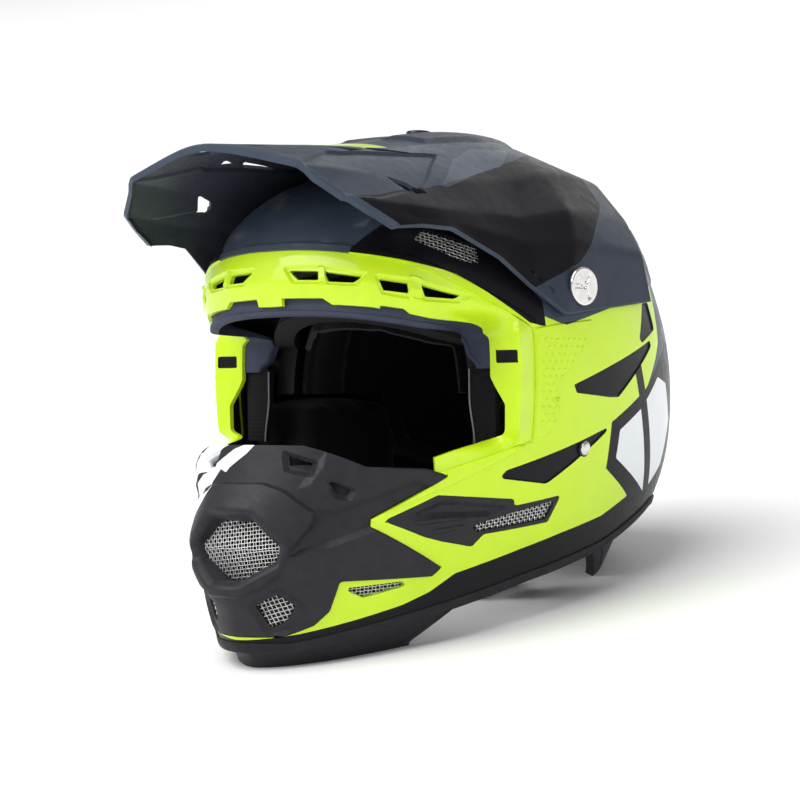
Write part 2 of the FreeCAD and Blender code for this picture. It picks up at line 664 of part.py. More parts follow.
# ---- every piece, then the move to the standing attitude ----
def all_pieces():
    left_and_right = {
        "jaw_mesh": make_side_mesh(JAW_MESH),
        "side_mesh": make_side_mesh(SIDE_MESH),
        "brow_mesh": make_side_mesh(BROW_MESH),
        "chin_mesh": make_front_mesh(CHIN_MESH),
        "side_vent": make_side_vent(),
        "cheek_pad": make_cheek_pad(),
        "cheek_studs": make_cheek_studs(),
        "cheek_plate": make_cheek_plate(),
        "strap_tab": make_strap_tab(),
        "strap_pad": make_strap_pad(),
    }
    pieces = {
        "outer_shell": make_outer_shell(),
        "rim_trim": make_rim_trim(),
        "chin_guard": make_chin_guard(),
        "mouth_mesh": make_front_mesh(MOUTH),
        "chin_skirt": make_chin_skirt(),
        "neck_guard": make_neck_guard(),
        "eyeport_frame": make_eyeport_frame(),
        "eyeport_gasket": make_eyeport_gasket(),
        "rear_spoiler": make_rear_spoiler(),
        "rear_mesh": make_rear_mesh(),
        "outer_liner": make_outer_liner(),
        "dampers": make_dampers(),
        "inner_liner": make_inner_liner(),
        "comfort_liner": make_comfort_liner(),
        "chin_bar_pad": make_chin_bar_pad(),
        "strap_left": make_strap(STRAP_LEFT_PATH),
        "strap_right": make_strap(STRAP_RIGHT_PATH),
        "d_ring_lower": make_d_ring(RING_HEIGHTS[0]),
        "d_ring_upper": make_d_ring(RING_HEIGHTS[1]),
        "strap_snap": make_strap_snap(),
        "visor": make_visor(),
        "visor_screw_top": make_top_screw(),
        "visor_nut_top": make_top_nut(),
        "visor_post": make_visor_post(),
    }
    for name, left in left_and_right.items():
        pieces[name + "_left"] = left
        pieces[name + "_right"] = mirrored(left)
    for name, side in (("left", 1), ("right", -1)):
        pieces["visor_screw_" + name] = make_side_screw(side)
        pieces["visor_nut_" + name] = make_side_nut(side)
        pieces["strap_rivet_" + name] = make_strap_rivet(side)
    return pieces


def standing(pieces):
    """Lean the worn pieces back and put the middle of their box over the origin."""
    lean = Matrix()
    lean.move(Vector(0, -BASE_POINT[0], -BASE_POINT[1]))
    lean.rotateX(-math.radians(REST_PITCH))
    leaned = {name: shape.transformed(lean) for name, shape in pieces.items()}
    box = FreeCAD.BoundBox()
    for shape in leaned.values():
        for point in shape.tessellate(BOX_MESH)[0]:
            box.add(point)
    shift = Matrix()
    shift.move(Vector(0, -box.Center.y, 0))
    print(f"overall {box.XLength:.1f} x {box.YLength:.1f} x {box.ZLength:.1f} mm, moved {-box.Center.y:.3f} in y")
    return {name: shape.transformed(shift) for name, shape in leaned.items()}


def main():
    os.makedirs("parts", exist_ok=True)
    for name, shape in standing(all_pieces()).items():
        solids = shape.Solids
        valid = all(solid.isValid() for solid in solids)
        print(f"{name:20s} {len(solids):3d} solid(s) {shape.Volume / 1000:9.2f} cm3 valid {valid}")
        body = solids[0] if len(solids) == 1 else Part.makeCompound(solids)
        body.exportStep(f"parts/{name}.step")


main()
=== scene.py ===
import json
import math

import bpy
import numpy as np
from mathutils import Matrix, Vector


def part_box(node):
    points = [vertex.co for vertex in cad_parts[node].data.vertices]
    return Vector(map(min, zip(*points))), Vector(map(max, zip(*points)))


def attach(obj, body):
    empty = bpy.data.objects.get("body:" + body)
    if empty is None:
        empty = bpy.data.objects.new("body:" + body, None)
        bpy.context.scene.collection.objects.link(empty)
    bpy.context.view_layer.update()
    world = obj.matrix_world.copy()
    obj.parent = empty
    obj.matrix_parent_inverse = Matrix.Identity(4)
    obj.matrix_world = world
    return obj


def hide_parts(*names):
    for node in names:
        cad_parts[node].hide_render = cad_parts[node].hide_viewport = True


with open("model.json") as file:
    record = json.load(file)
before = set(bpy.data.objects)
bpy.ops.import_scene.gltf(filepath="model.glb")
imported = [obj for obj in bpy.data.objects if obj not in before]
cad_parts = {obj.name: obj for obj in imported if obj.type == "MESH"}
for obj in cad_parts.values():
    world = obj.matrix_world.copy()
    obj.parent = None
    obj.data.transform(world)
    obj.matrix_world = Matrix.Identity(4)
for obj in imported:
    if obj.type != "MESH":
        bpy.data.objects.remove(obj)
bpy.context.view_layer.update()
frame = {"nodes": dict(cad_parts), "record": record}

# The looks of a motocross helmet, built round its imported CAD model.
# Outlines are in millimetres in the worn attitude, as in the CAD source: +X is the wearer's left, -Y the face,
# +Z the crown. to_frame() turns them into the frame's metres, where the helmet stands leaned back.
MM = 0.001
REST_PITCH = math.radians(9.5)
BASE_POINT = (-145.0, -4.0)    # y, z of the chin skirt's lowest line, as worn
RIVET = (4.0, 118.0)           # y, z of the chin strap rivets, as worn
FAR = 400.0                    # beyond any piece
SNAP = 0.1                     # a cut this near to a vertex goes through it
DRAW = 0.3                     # a free vertex within this share of an edge is drawn onto a cut
SHARP = math.radians(33)       # edges sharper than this stay crisp

# Rings of the shell's outer surface: height, half width, y of the widest place, y of the back, y of the front,
# fullness of back and of front. The last one closes the crown.
SHELL_RINGS = np.array([
    (-25, 76, 0, 104, -150, 2.3, 1.7), (0, 88, 0, 120, -160, 2.3, 1.7), (20, 97, 0, 132, -167, 2.3, 1.7),
    (45, 106, 5, 148, -170, 2.3, 1.75), (75, 116, 8, 167, -167, 2.35, 1.8), (100, 122, 10, 180, -160, 2.4, 1.9),
    (130, 126, 10, 187, -151, 2.4, 2.0), (160, 127, 10, 187, -145, 2.4, 2.15), (190, 125, 12, 183, -141, 2.35, 2.3),
    (215, 120.5, 14, 175, -138, 2.3, 2.35), (240, 112, 17, 162, -130, 2.3, 2.3), (261, 99, 20, 142, -114, 2.25, 2.2),
    (277, 81, 22, 117, -90, 2.2, 2.1), (288, 59, 24, 89, -60, 2.1, 2.0), (294, 35, 25, 60, -28, 2.0, 2.0),
    (297, 14, 25, 39, 8, 2.0, 2.0), (297.6, 1, 25, 26, 24, 2.0, 2.0),
], float)
SHELL_WALL = 4.5
GUARD_PROUD = 1.5

# Side outlines, as y, z.
RIM_LINE = [(-FAR, 2), (-150, 7), (-103, 21), (-30, 41), (42, 57), (110, 80), (FAR, 88)]
EYE_OPENING = [
    (-FAR, 209), (-139, 208), (-122, 202), (-86, 195), (-54, 181), (-55, 160),
    (-48, 155), (-43, 148), (-43, 128), (-102, 109), (-128, 111), (-146, 123), (-FAR, 124),
]
SHELL_OPENING = [
    (-FAR, 237), (-132, 236), (-104, 226), (-74, 208), (-40, 189), (-40, 124),
    (-101, 105), (-128, 107), (-146, 119), (-FAR, 120),
]
GUARD_OUTLINE = [
    (-FAR, 10), (-155, 14), (-144, 21), (-139, 29), (-137, 46), (-91, 47), (-86, 52),
    (-126, 77), (-126, 81), (-90, 105), (-101, 109), (-128, 111), (-146, 124), (-FAR, 125),
]
SIDE_VENT = [
    (-121, 80), (-95, 94), (-48, 90), (-47, 86), (-12, 91), (-19, 75), (-64, 70), (-70, 63), (-89, 67), (-99, 70),
]
SIDE_MESH = [(-72, 75.5), (-47, 82), (-16, 88), (-21, 77), (-69, 71.5)]
JAW_MESH = [(-136, 42), (-106, 45), (-105, 42), (-125, 36)]
BROW_MESH = [(-98, 240), (-90, 247), (-66, 236), (-68, 226), (-80, 228)]

# Front outlines, as x, z.
MOUTH = [(-14, 81), (14, 81), (30, 66), (28, 58), (8, 46), (-8, 46), (-28, 58), (-30, 66)]
CHIN_MESH = [(15, 33), (27, 39), (35, 32), (29, 23), (21, 19)]

# Paint and relief, as y, z from the side.
YELLOW_SIDE = [
    (-FAR, 237), (-131, 237), (-107, 229), (-84, 221), (-61, 205), (-13, 191), (48, 205), (106, 218),
    (100, 182), (92, 172), (83, 162), (74, 152), (60, 145), (47, 140), (31, 133), (30, 109), (44, 97), (61, 87),
    (33, 68), (-36, 52), (-90, 32), (-144, 8), (-FAR, 4),
]
REAR_WHITE = [(94, 160), (68, 141), (41, 128), (39, 111), (86, 88), (112, 104), (124, 132), (112, 156)]
REAR_SHARD = [(56, 172), (66, 172), (98, 78), (88, 78)]
SIDE_SHAPES = [
    [(-8, 156), (84, 183), (85, 179), (38, 148), (28, 148), (-6, 151)],
    [(91, 207), (95, 190), (71, 181), (68, 184), (80, 206)],
    [(-59, 104), (-56, 107), (25, 129.5), (27, 128), (-24, 99), (-27, 98), (-58, 102)],
]
FLANGE = [
    (14, 195), (7, 182), (-22, 157), (-25, 147), (-20, 142), (-26, 129), (-61, 112), (-91, 98), (-126, 82),
    (-128, 84), (-102, 105), (-40, 124), (-40, 189), (-20, 192),
]
DOT_ZONE = [(5, 187), (-34, 184), (-37, 160), (-37, 133), (-25, 129), (-20, 142), (-21, 157), (7, 182)]

# The visor's outer face, in rows from its front edge to its back edge.
# Each row runs from the crest (x = 0) over the shoulder and down the flank to the lower edge, as x, y, z.
VISOR_ROWS = np.array([
    [(0, -191, 294), (34, -187, 289), (67, -182, 281), (90, -167, 261), (96, -152, 252), (100, -138, 244)],
    [(0, -120, 298), (50, -126, 292), (76, -131, 277), (95, -126, 258), (99, -121, 251), (103, -117, 246)],
    [(0, -80, 302), (50, -85, 295), (80, -94, 274), (99, -98, 257), (104, -98, 250), (108, -98, 245)],
    [(0, -40, 308), (47, -45, 299), (83, -62, 276), (102, -66, 257), (112, -68, 244), (119, -68, 229)],
    [(0, 0, 313), (46, -10, 304), (86, -25, 278), (109, -34, 254), (119, -38, 237), (124, -46, 213)],
    [(0, 36, 314), (44, 25, 307), (87, 18, 285), (111.5, 10, 260.5), (122, 2, 239), (129.5, -18, 197)],
    [(0, 76, 308), (38, 68, 302), (79, 84, 283), (103, 82, 258), (117.5, 78, 236), (121.5, 82, 207)],
], float)
VISOR_WALL = 2.2
TILT_PIVOT = (-1.8, 214.0)
SIDE_SCREW_X = 130.5
SCREW_SPLAY = math.radians(7.0)
TOP_SCREW_Y = 4.0
LAND_RADIUS = 99.5
SHANK_R = 2.9
SIDE_HEAD_R = 11.5
TOP_HEAD_R = 8.0
HEAD_WALL = 2.5
SCREW_GAP = 0.6
SLOT_REACH = (-7.5, 14.5)


# ---- placing ----
def worn_to_frame(points):
    """Worn millimetres to frame metres, before the shift along Y."""
    x, y, z = np.moveaxis(np.asarray(points, float), -1, 0)
    y, z = y - BASE_POINT[0], z - BASE_POINT[1]
    turned_y = y * math.cos(REST_PITCH) + z * math.sin(REST_PITCH)
    turned_z = z * math.cos(REST_PITCH) - y * math.sin(REST_PITCH)
    return np.stack([x, turned_y, turned_z], -1) * MM


def frame_shift():
    """How far the CAD model was moved along Y, read from a strap rivet, which is round about its axis."""
    low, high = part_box("strap_rivet_left")
    return (low.y + high.y) / 2 - worn_to_frame([0, *RIVET])[1]


SHIFT = np.array([0, frame_shift(), 0])


def to_frame(points):
    return worn_to_frame(points) + SHIFT


def direction(vector):
    """A worn direction as a unit vector in the frame."""
    turned = Vector(worn_to_frame(np.asarray(vector, float) + [0, *BASE_POINT]))
    return turned.normalized()


# ---- plane geometry ----
def inside(places, outline):
    """How far inside a closed outline each place lies; negative outside it."""
    corners = np.array(outline, float)
    nearest = np.full(len(places), np.inf)
    within = np.zeros(len(places), bool)
    for a, b in zip(corners, np.roll(corners, -1, axis=0)):
        edge = b - a
        along = np.clip((places - a) @ edge / (edge @ edge), 0, 1)
        gap = places - a - along[:, None] * edge
        nearest = np.minimum(nearest, (gap ** 2).sum(1))
        if a[1] != b[1]:
            spans = (a[1] > places[:, 1]) != (b[1] > places[:, 1])
            reach = a[0] + (places[:, 1] - a[1]) * (b[0] - a[0]) / (b[1] - a[1])
            within ^= spans & (places[:, 0] < reach)
    return np.where(within, 1, -1) * np.sqrt(nearest)


def rounded(outline, radius, steps=4):
    """The outline with each corner turned into an arc."""
    corners = [Vector(corner) for corner in outline]
    points = []
    for i, corner in enumerate(corners):
        before = corners[i - 1] - corner
        after = corners[(i + 1) % len(corners)] - corner
        turn = math.pi - before.angle(after)
        reach = min(radius * math.tan(turn / 2), 0.45 * before.length, 0.45 * after.length)
        start = corner + before.normalized() * reach
        end = corner + after.normalized() * reach
        if reach < 0.01:
            points.append(corner)
            continue
        for k in range(steps + 1):
            t = k / steps
            points.append((1 - t) ** 2 * start + 2 * t * (1 - t) * corner + t ** 2 * end)
    return [tuple(point) for point in points]


def side(outline, radius=0.0, only=0):
    """A field over worn points: how far inside a side outline (y, z) they lie, on both sides or only one."""
    shape = rounded(outline, radius) if radius else outline

    def field(points):
        value = inside(points[:, 1:], shape)
        return value if only == 0 else np.minimum(value, points[:, 0] * only)
    return field


def front(outline, radius=0.0, mirror=True):
    """A field: how far inside a front outline (x, z) points on the face side lie."""
    shape = rounded(outline, radius) if radius else outline

    def field(points):
        x = np.abs(points[:, 0]) if mirror else points[:, 0]
        value = inside(np.stack([x, points[:, 2]], -1), shape)
        return np.minimum(value, -40.0 - points[:, 1])
    return field


def above(outline, radius=0.0, mirror=True):
    """A field: how far inside an outline (x, y) seen from above points lie."""
    shape = rounded(outline, radius) if radius else outline

    def field(points):
        x = np.abs(points[:, 0]) if mirror else points[:, 0]
        return inside(np.stack([x, points[:, 1]], -1), shape)
    return field


def over_line(line, shift=0.0):
    """A field: height above a side line (y, z)."""
    ys, zs = zip(*line)
    return lambda points: points[:, 2] - np.interp(points[:, 1], ys, zs) - shift


def negative(field):
    return lambda points: -field(points)


def ramp(value, low, high):
    """0 below low, 1 above high, smooth between."""
    t = np.clip((value - low) / (high - low), 0, 1)
    return t * t * (3 - 2 * t)


def spline(knots, values, places):
    """A natural cubic spline through the rows of values, read at places."""
    count = len(knots)
    gaps = np.diff(knots)
    system = np.eye(count)
    target = np.zeros(values.shape)
    for i in range(1, count - 1):
        system[i, i - 1:i + 2] = gaps[i - 1], 2 * (gaps[i - 1] + gaps[i]), gaps[i]
        slopes = (values[i + 1] - values[i]) / gaps[i], (values[i] - values[i - 1]) / gaps[i - 1]
        target[i] = 6 * (slopes[0] - slopes[1])
    bend = np.linalg.solve(system, target)
    k = np.clip(np.searchsorted(knots, places) - 1, 0, count - 2)
    past, left, gap = (places - knots[k])[:, None], (knots[k + 1] - places)[:, None], gaps[k][:, None]
    cubic = (bend[k] * left ** 3 + bend[k + 1] * past ** 3) / (6 * gap)
    return cubic + (values[k] / gap - bend[k] * gap / 6) * left + (values[k + 1] / gap - bend[k + 1] * gap / 6) * past


def unit(vectors):
    return vectors / np.maximum(np.linalg.norm(vectors, axis=-1, keepdims=True), 1e-9)


# ---- surfaces made of rings ----
def profile_knots(rings):
    """Lengths along the side profile at which the rings lie."""
    steps = np.hypot(np.diff(rings[:, 0]), np.diff(rings[:, 1]))
    return np.concatenate([[0], np.cumsum(steps)])


def ring_surface(rings, angle, length):
    """Points of the surface through rings, at angles round it and lengths up its profile."""
    height, width, centre, back, front_end, back_power, front_power = spline(
        profile_knots(rings), rings, np.ravel(length)).T.reshape((7,) + np.shape(length))
    across, along = np.cos(angle), np.sin(angle)
    behind = along >= 0
    depth = np.where(behind, back - centre, centre - front_end)
    power = np.where(behind, back_power, front_power)
    reach = (np.abs(across / width) ** power + np.abs(along / depth) ** power) ** (-1 / power)
    return np.stack([reach * across, centre + reach * along, height], -1)


def grid_normals(grid, wraps):
    """Outward directions of a grid of points whose rows go up and whose columns go round."""
    rise = np.gradient(grid, axis=0)
    if wraps:
        turn = np.roll(grid, -1, axis=1) - np.roll(grid, 1, axis=1)
    else:
        turn = np.gradient(grid, axis=1)
    return unit(np.cross(turn, rise))


def grid_triangles(rows, columns, wraps):
    index = np.arange(rows * columns).reshape(rows, columns)
    right = np.roll(index, -1, axis=1) if wraps else index[:, 1:]
    left = index if wraps else index[:, :-1]
    a, b, c, d = left[:-1], right[:-1], right[1:], left[1:]
    return np.concatenate([np.stack([a, b, c], -1).reshape(-1, 3), np.stack([a, c, d], -1).reshape(-1, 3)])


def ring_skin(rings, cell, low=0.0, high=None, angles=(-180, 180), inset=0.0):
    """A skin over part of a ring surface, with cells about that size."""
    knots = profile_knots(rings)
    top = knots[-1] if high is None else high
    wraps = angles[1] - angles[0] >= 360
    girth = 3.3 * rings[:, 1].max() * (angles[1] - angles[0]) / 180 * 1.25
    rows = int((top - low) / cell) + 1
    columns = int(girth / cell)
    length = np.linspace(low, top, rows)
    angle = np.radians(np.linspace(angles[0], angles[1], columns, endpoint=not wraps))
    angle, length = np.meshgrid(angle, length)
    grid = ring_surface(rings, angle, length)
    normals = grid_normals(grid, wraps)
    base = (grid - normals * inset).reshape(-1, 3)
    return Skin(base, normals.reshape(-1, 3), grid_triangles(rows, columns, wraps))


def length_at_height(rings, height):
    """Profile length at which a ring surface reaches that height."""
    lengths = np.linspace(0, profile_knots(rings)[-1], 800)
    heights = spline(profile_knots(rings), rings, lengths)[:, 0]
    return np.interp(height, heights, lengths)


def shell_skin(cell, low_z=-25.0, high_z=297.6, **options):
    lengths = [length_at_height(SHELL_RINGS, z) for z in (low_z, high_z)]
    return ring_skin(SHELL_RINGS, cell, *lengths, **options)


def on_shell(first, second, from_side=True, sign=1):
    """Points of the shell's surface seen from the side at (y, z), or from the front at (x, z)."""
    first, height = np.asarray(first, float), np.asarray(second, float)
    length = length_at_height(SHELL_RINGS, height)
    values = spline(profile_knots(SHELL_RINGS), SHELL_RINGS, np.ravel(length)).T.reshape((7,) + height.shape)
    _, width, centre, back, front_end, back_power, front_power = values
    if from_side:
        behind = first >= centre
        depth = np.where(behind, back - centre, centre - front_end)
        power = np.where(behind, back_power, front_power)
        share = np.clip(1 - np.abs((first - centre) / depth) ** power, 0, 1)
        return np.stack([sign * width * share ** (1 / power), first, height], -1)
    share = np.clip(1 - np.abs(first / width) ** front_power, 0, 1)
    return np.stack([first, centre - (centre - front_end) * share ** (1 / front_power), height], -1)


def patch_normals(patch, first, second):
    """Outward directions of a patch function, by small steps in both its arguments."""
    step = 0.5
    across = patch(first + step, second) - patch(first - step, second)
    up = patch(first, second + step) - patch(first, second - step)
    normals = unit(np.cross(across, up))
    outward = patch(first, second) - [0, 10, 140]
    return normals * np.sign((normals * outward).sum(-1, keepdims=True))


# ---- skins ----
class Skin:
    """A triangle mesh on a surface: cut along fields, raised or sunk, painted, then given a wall."""

    def __init__(self, base, normals, triangles):
        self.base = base
        self.normals = normals
        self.triangles = triangles
        self.lift = np.zeros(len(base))
        self.under = np.zeros(len(base))
        self.paint = np.zeros(len(triangles), int)
        self.fixed = np.zeros(len(base), bool)
        self.fixed[self.rim_edges()[0].ravel()] = True

    def centres(self):
        return self.base[self.triangles].mean(axis=1)

    def rim_edges(self):
        """Directed edges with no neighbour, and the triangle of each."""
        count = len(self.base)
        directed = np.concatenate([self.triangles[:, [0, 1]], self.triangles[:, [1, 2]], self.triangles[:, [2, 0]]])
        codes = directed[:, 0] * count + directed[:, 1]
        rows = np.flatnonzero(~np.isin(codes, directed[:, 1] * count + directed[:, 0]))
        return directed[rows], rows % len(self.triangles)

    def cut(self, field, *levels):
        """Split triangles so that none crosses the lines where the field equals a level."""
        for level in levels or (0.0,):
            value = field(self.base) - level
            value[np.abs(value) < SNAP] = 0
            self.split(self.drawn(value))
        return self

    def drawn(self, value):
        """Move free vertices that lie near the line onto it, along a crossed edge."""
        edges = np.concatenate([self.triangles[:, [0, 1]], self.triangles[:, [1, 2]], self.triangles[:, [2, 0]]])
        edges = edges[value[edges[:, 0]] * value[edges[:, 1]] < 0]
        edges = np.concatenate([edges, edges[:, ::-1]])
        share = value[edges[:, 0]] / (value[edges[:, 0]] - value[edges[:, 1]])
        near = (share < DRAW) & ~self.fixed[edges[:, 0]]
        edges, share = edges[near], share[near]
        order = np.argsort(share, kind="stable")
        moved, first = np.unique(edges[order, 0], return_index=True)
        if not len(moved):
            return value
        i, j = edges[order][first].T
        t = share[order][first]
        self.base[i] += (self.base[j] - self.base[i]) * t[:, None]
        self.normals[i] = unit(self.normals[i] * (1 - t[:, None]) + self.normals[j] * t[:, None])
        self.lift[i] += (self.lift[j] - self.lift[i]) * t
        self.under[i] += (self.under[j] - self.under[i]) * t
        self.fixed[i] = True
        value[i] = 0
        return value

    def split(self, value):
        self.fixed |= value == 0
        corners = self.triangles
        signs = np.sign(value)[corners]
        crossed = signs * np.roll(signs, -1, axis=1) < 0
        count = crossed.sum(axis=1)
        two, one = count == 2, count == 1
        odd = np.argmax(crossed & np.roll(crossed, 1, axis=1), axis=1)
        zero = (np.argmax(crossed, axis=1) + 2) % 3
        first = np.where(two, odd, zero)
        turned = np.take_along_axis(corners, (first[:, None] + np.arange(3)) % 3, axis=1)
        o, p, q = turned[two].T
        z, r, s = turned[one].T
        pairs = np.concatenate([np.stack([o, p], -1), np.stack([o, q], -1), np.stack([r, s], -1)])
        if not len(pairs):
            return
        pairs = np.sort(pairs, axis=1)
        edges, places = np.unique(pairs, axis=0, return_inverse=True)
        places = places.ravel() + len(self.base)
        i, j = edges.T
        share = (value[i] / (value[i] - value[j]))[:, None]
        self.base = np.concatenate([self.base, self.base[i] * (1 - share) + self.base[j] * share])
        self.normals = np.concatenate([self.normals, unit(self.normals[i] * (1 - share) + self.normals[j] * share)])
        share = share[:, 0]
        self.lift = np.concatenate([self.lift, self.lift[i] * (1 - share) + self.lift[j] * share])
        self.under = np.concatenate([self.under, self.under[i] * (1 - share) + self.under[j] * share])
        self.fixed = np.concatenate([self.fixed, np.ones(len(edges), bool)])
        m1, m2, m3 = np.split(places, [len(o), 2 * len(o)])
        parts = [corners[count == 0], np.stack([o, m1, m2], -1), np.stack([m1, p, q], -1),
                 np.stack([m1, q, m2], -1), np.stack([z, r, m3], -1), np.stack([z, m3, s], -1)]
        paints = [self.paint[count == 0]] + [self.paint[two]] * 3 + [self.paint[one]] * 2
        self.triangles = np.concatenate(parts)
        self.paint = np.concatenate(paints)

    def keep(self, field):
        """Drop everything outside the field."""
        self.cut(field)
        kept = field(self.centres()) > 0
        self.triangles, self.paint = self.triangles[kept], self.paint[kept]
        return self.compact()

    def remove(self, field):
        return self.keep(negative(field))

    def compact(self):
        used, places = np.unique(self.triangles, return_inverse=True)
        self.triangles = places.reshape(-1, 3)
        self.base, self.normals = self.base[used], self.normals[used]
        self.lift, self.under, self.fixed = self.lift[used], self.under[used], self.fixed[used]
        return self

    def coat(self, field, colour):
        """Paint everything inside the field with that material."""
        self.cut(field)
        self.paint[field(self.centres()) > 0] = colour
        return self

    def levelled(self, field, *levels):
        """The field at the vertices, exact where a cut went through them."""
        value = field(self.base)
        for level in levels:
            value[np.abs(value - level) < SNAP] = level
        return value

    def raise_by(self, field, height, width=1.0):
        """Lift the inside of the field, over a straight slope of that width inside its edge."""
        self.cut(field, 0.0, width)
        self.lift += height * np.clip(self.levelled(field, 0.0, width) / width, 0, 1)
        return self

    def groove(self, field, width, depth):
        """Sink a V-shaped groove along the field's edge."""
        half = width / 2
        self.cut(field, -half, 0.0, half)
        self.lift -= depth * np.clip(1 - np.abs(self.levelled(field, -half, 0.0, half)) / half, 0, 1)
        return self

    def round_edge(self, field, radius):
        """Round the surface down towards the field's edge, inside it."""
        self.cut(field, 0.15 * radius, 0.5 * radius, radius)
        gap = np.clip(radius - self.levelled(field, 0.0, radius), 0, radius)
        self.lift -= radius - np.sqrt(np.maximum(radius ** 2 - gap ** 2, 0))
        return self

    def solid(self, wall, back=None):
        """Points, faces and paint of the skin with a wall on its inner side.

        The inner face may have its own paint.
        """
        count = len(self.base)
        outer = self.base + self.normals * self.lift[:, None]
        inner = self.base + self.normals * (np.minimum(self.lift, 0) - wall - self.under)[:, None]
        rim_edges, owners = self.rim_edges()
        a, b = rim_edges.T
        rim = np.stack([b, a, a + count, b + count], -1)
        faces = self.triangles.tolist() + (self.triangles[:, ::-1] + count).tolist() + rim.tolist()
        inner_paint = self.paint if back is None else np.full(len(self.paint), back)
        return np.concatenate([outer, inner]), faces, np.concatenate([self.paint, inner_paint, self.paint[owners]])


# ---- objects ----
def make_object(name, points, faces, materials, body, paint=None, hides=(), slot=None, smooth=True, sharp=SHARP,
                worn=True):
    """A mesh object from worn points (or frame points), riding on a body."""
    mesh = bpy.data.meshes.new(name)
    placed = to_frame(points) if worn else np.asarray(points, float)
    mesh.from_pydata(placed.tolist(), [], faces if isinstance(faces, list) else faces.tolist())
    for item in materials:
        mesh.materials.append(item)
    if paint is not None:
        mesh.polygons.foreach_set("material_index", np.asarray(paint, np.int32))
    mesh.polygons.foreach_set("use_smooth", np.full(len(mesh.polygons), smooth))
    mesh.update()
    if smooth:
        mesh.set_sharp_from_angle(angle=sharp)
    piece = bpy.data.objects.new(name, mesh)
    bpy.context.scene.collection.objects.link(piece)
    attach(piece, body)
    if hides:
        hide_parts(*hides)
    return piece


def skin_object(name, skin, wall, materials, body, back=None, **options):
    """An object from a skin with a wall; its inner face may have its own material, added as the last one."""
    if back is not None:
        materials = materials + [back]
    points, faces, paint = skin.solid(wall, None if back is None else len(materials) - 1)
    return make_object(name, points, faces, materials, body, paint=paint, **options)


def merged(parts):
    """One set of points and faces from several."""
    points, faces, count = [], [], 0
    for part_points, part_faces in parts:
        points.append(part_points)
        faces += [[index + count for index in face] for face in part_faces]
        count += len(part_points)
    return np.concatenate(points), faces


def tube(path, radius, sides=6):
    """A closed round bar along a path of points."""
    path = np.asarray(path, float)
    tangents = unit(np.gradient(path, axis=0))
    helper = np.where(np.abs(tangents[:, 2:]) < 0.9, [[0.0, 0.0, 1.0]], [[1.0, 0.0, 0.0]])
    across = unit(np.cross(tangents, helper))
    up = np.cross(across, tangents)
    turn = 2 * np.pi * np.arange(sides) / sides
    ring = across[:, None] * np.cos(turn)[None, :, None] + up[:, None] * np.sin(turn)[None, :, None]
    points = (path[:, None] + radius * ring).reshape(-1, 3)
    faces = []
    for i in range(len(path) - 1):
        for k in range(sides):
            j = (k + 1) % sides
            faces.append([i * sides + k, i * sides + j, (i + 1) * sides + j, (i + 1) * sides + k])
    faces.append(list(range(sides))[::-1])
    faces.append([(len(path) - 1) * sides + k for k in range(sides)])
    return points, faces


def smooth_path(corners, steps=8):
    """A smooth curve through corner points, evenly divided."""
    corners = np.array(corners, float)
    knots = np.concatenate([[0], np.cumsum(np.linalg.norm(np.diff(corners, axis=0), axis=1))])
    return spline(knots, corners, np.linspace(0, knots[-1], steps * (len(corners) - 1) + 1))


def turned(profile, origin, axis, steps=48, relief=None):
    """A solid of revolution: profile as (radius, height along the axis) from the axis and back to it."""
    profile = np.array(profile, float)
    axis = np.asarray(axis, float) / np.linalg.norm(axis)
    helper = np.array([0.0, 0.0, 1.0]) if abs(axis[2]) < 0.9 else np.array([0.0, 1.0, 0.0])
    across = unit(np.cross(helper, axis))
    up = np.cross(axis, across)
    turn = 2 * np.pi * np.arange(steps) / steps
    radius = profile[:, 0][:, None]
    height = np.repeat(profile[:, 1][:, None], steps, axis=1)
    if relief is not None:
        height = height + relief(radius, turn[None, :], height)
    points = (np.asarray(origin, float) + (radius * np.cos(turn))[..., None] * across
              + (radius * np.sin(turn))[..., None] * up + height[..., None] * axis)
    faces = []
    for i in range(len(profile) - 1):
        for k in range(steps):
            j = (k + 1) % steps
            faces.append([i * steps + k, i * steps + j, (i + 1) * steps + j, (i + 1) * steps + k])
    faces.append(list(range(steps))[::-1])
    faces.append([(len(profile) - 1) * steps + k for k in range(steps)])
    return points.reshape(-1, 3), faces


# ---- materials ----
def srgb(red, green, blue):
    """A colour given as 0-255 screen values, in linear light."""
    def linear(value):
        value /= 255
        return value / 12.92 if value <= 0.04045 else ((value + 0.055) / 1.055) ** 2.4
    return linear(red), linear(green), linear(blue), 1.0


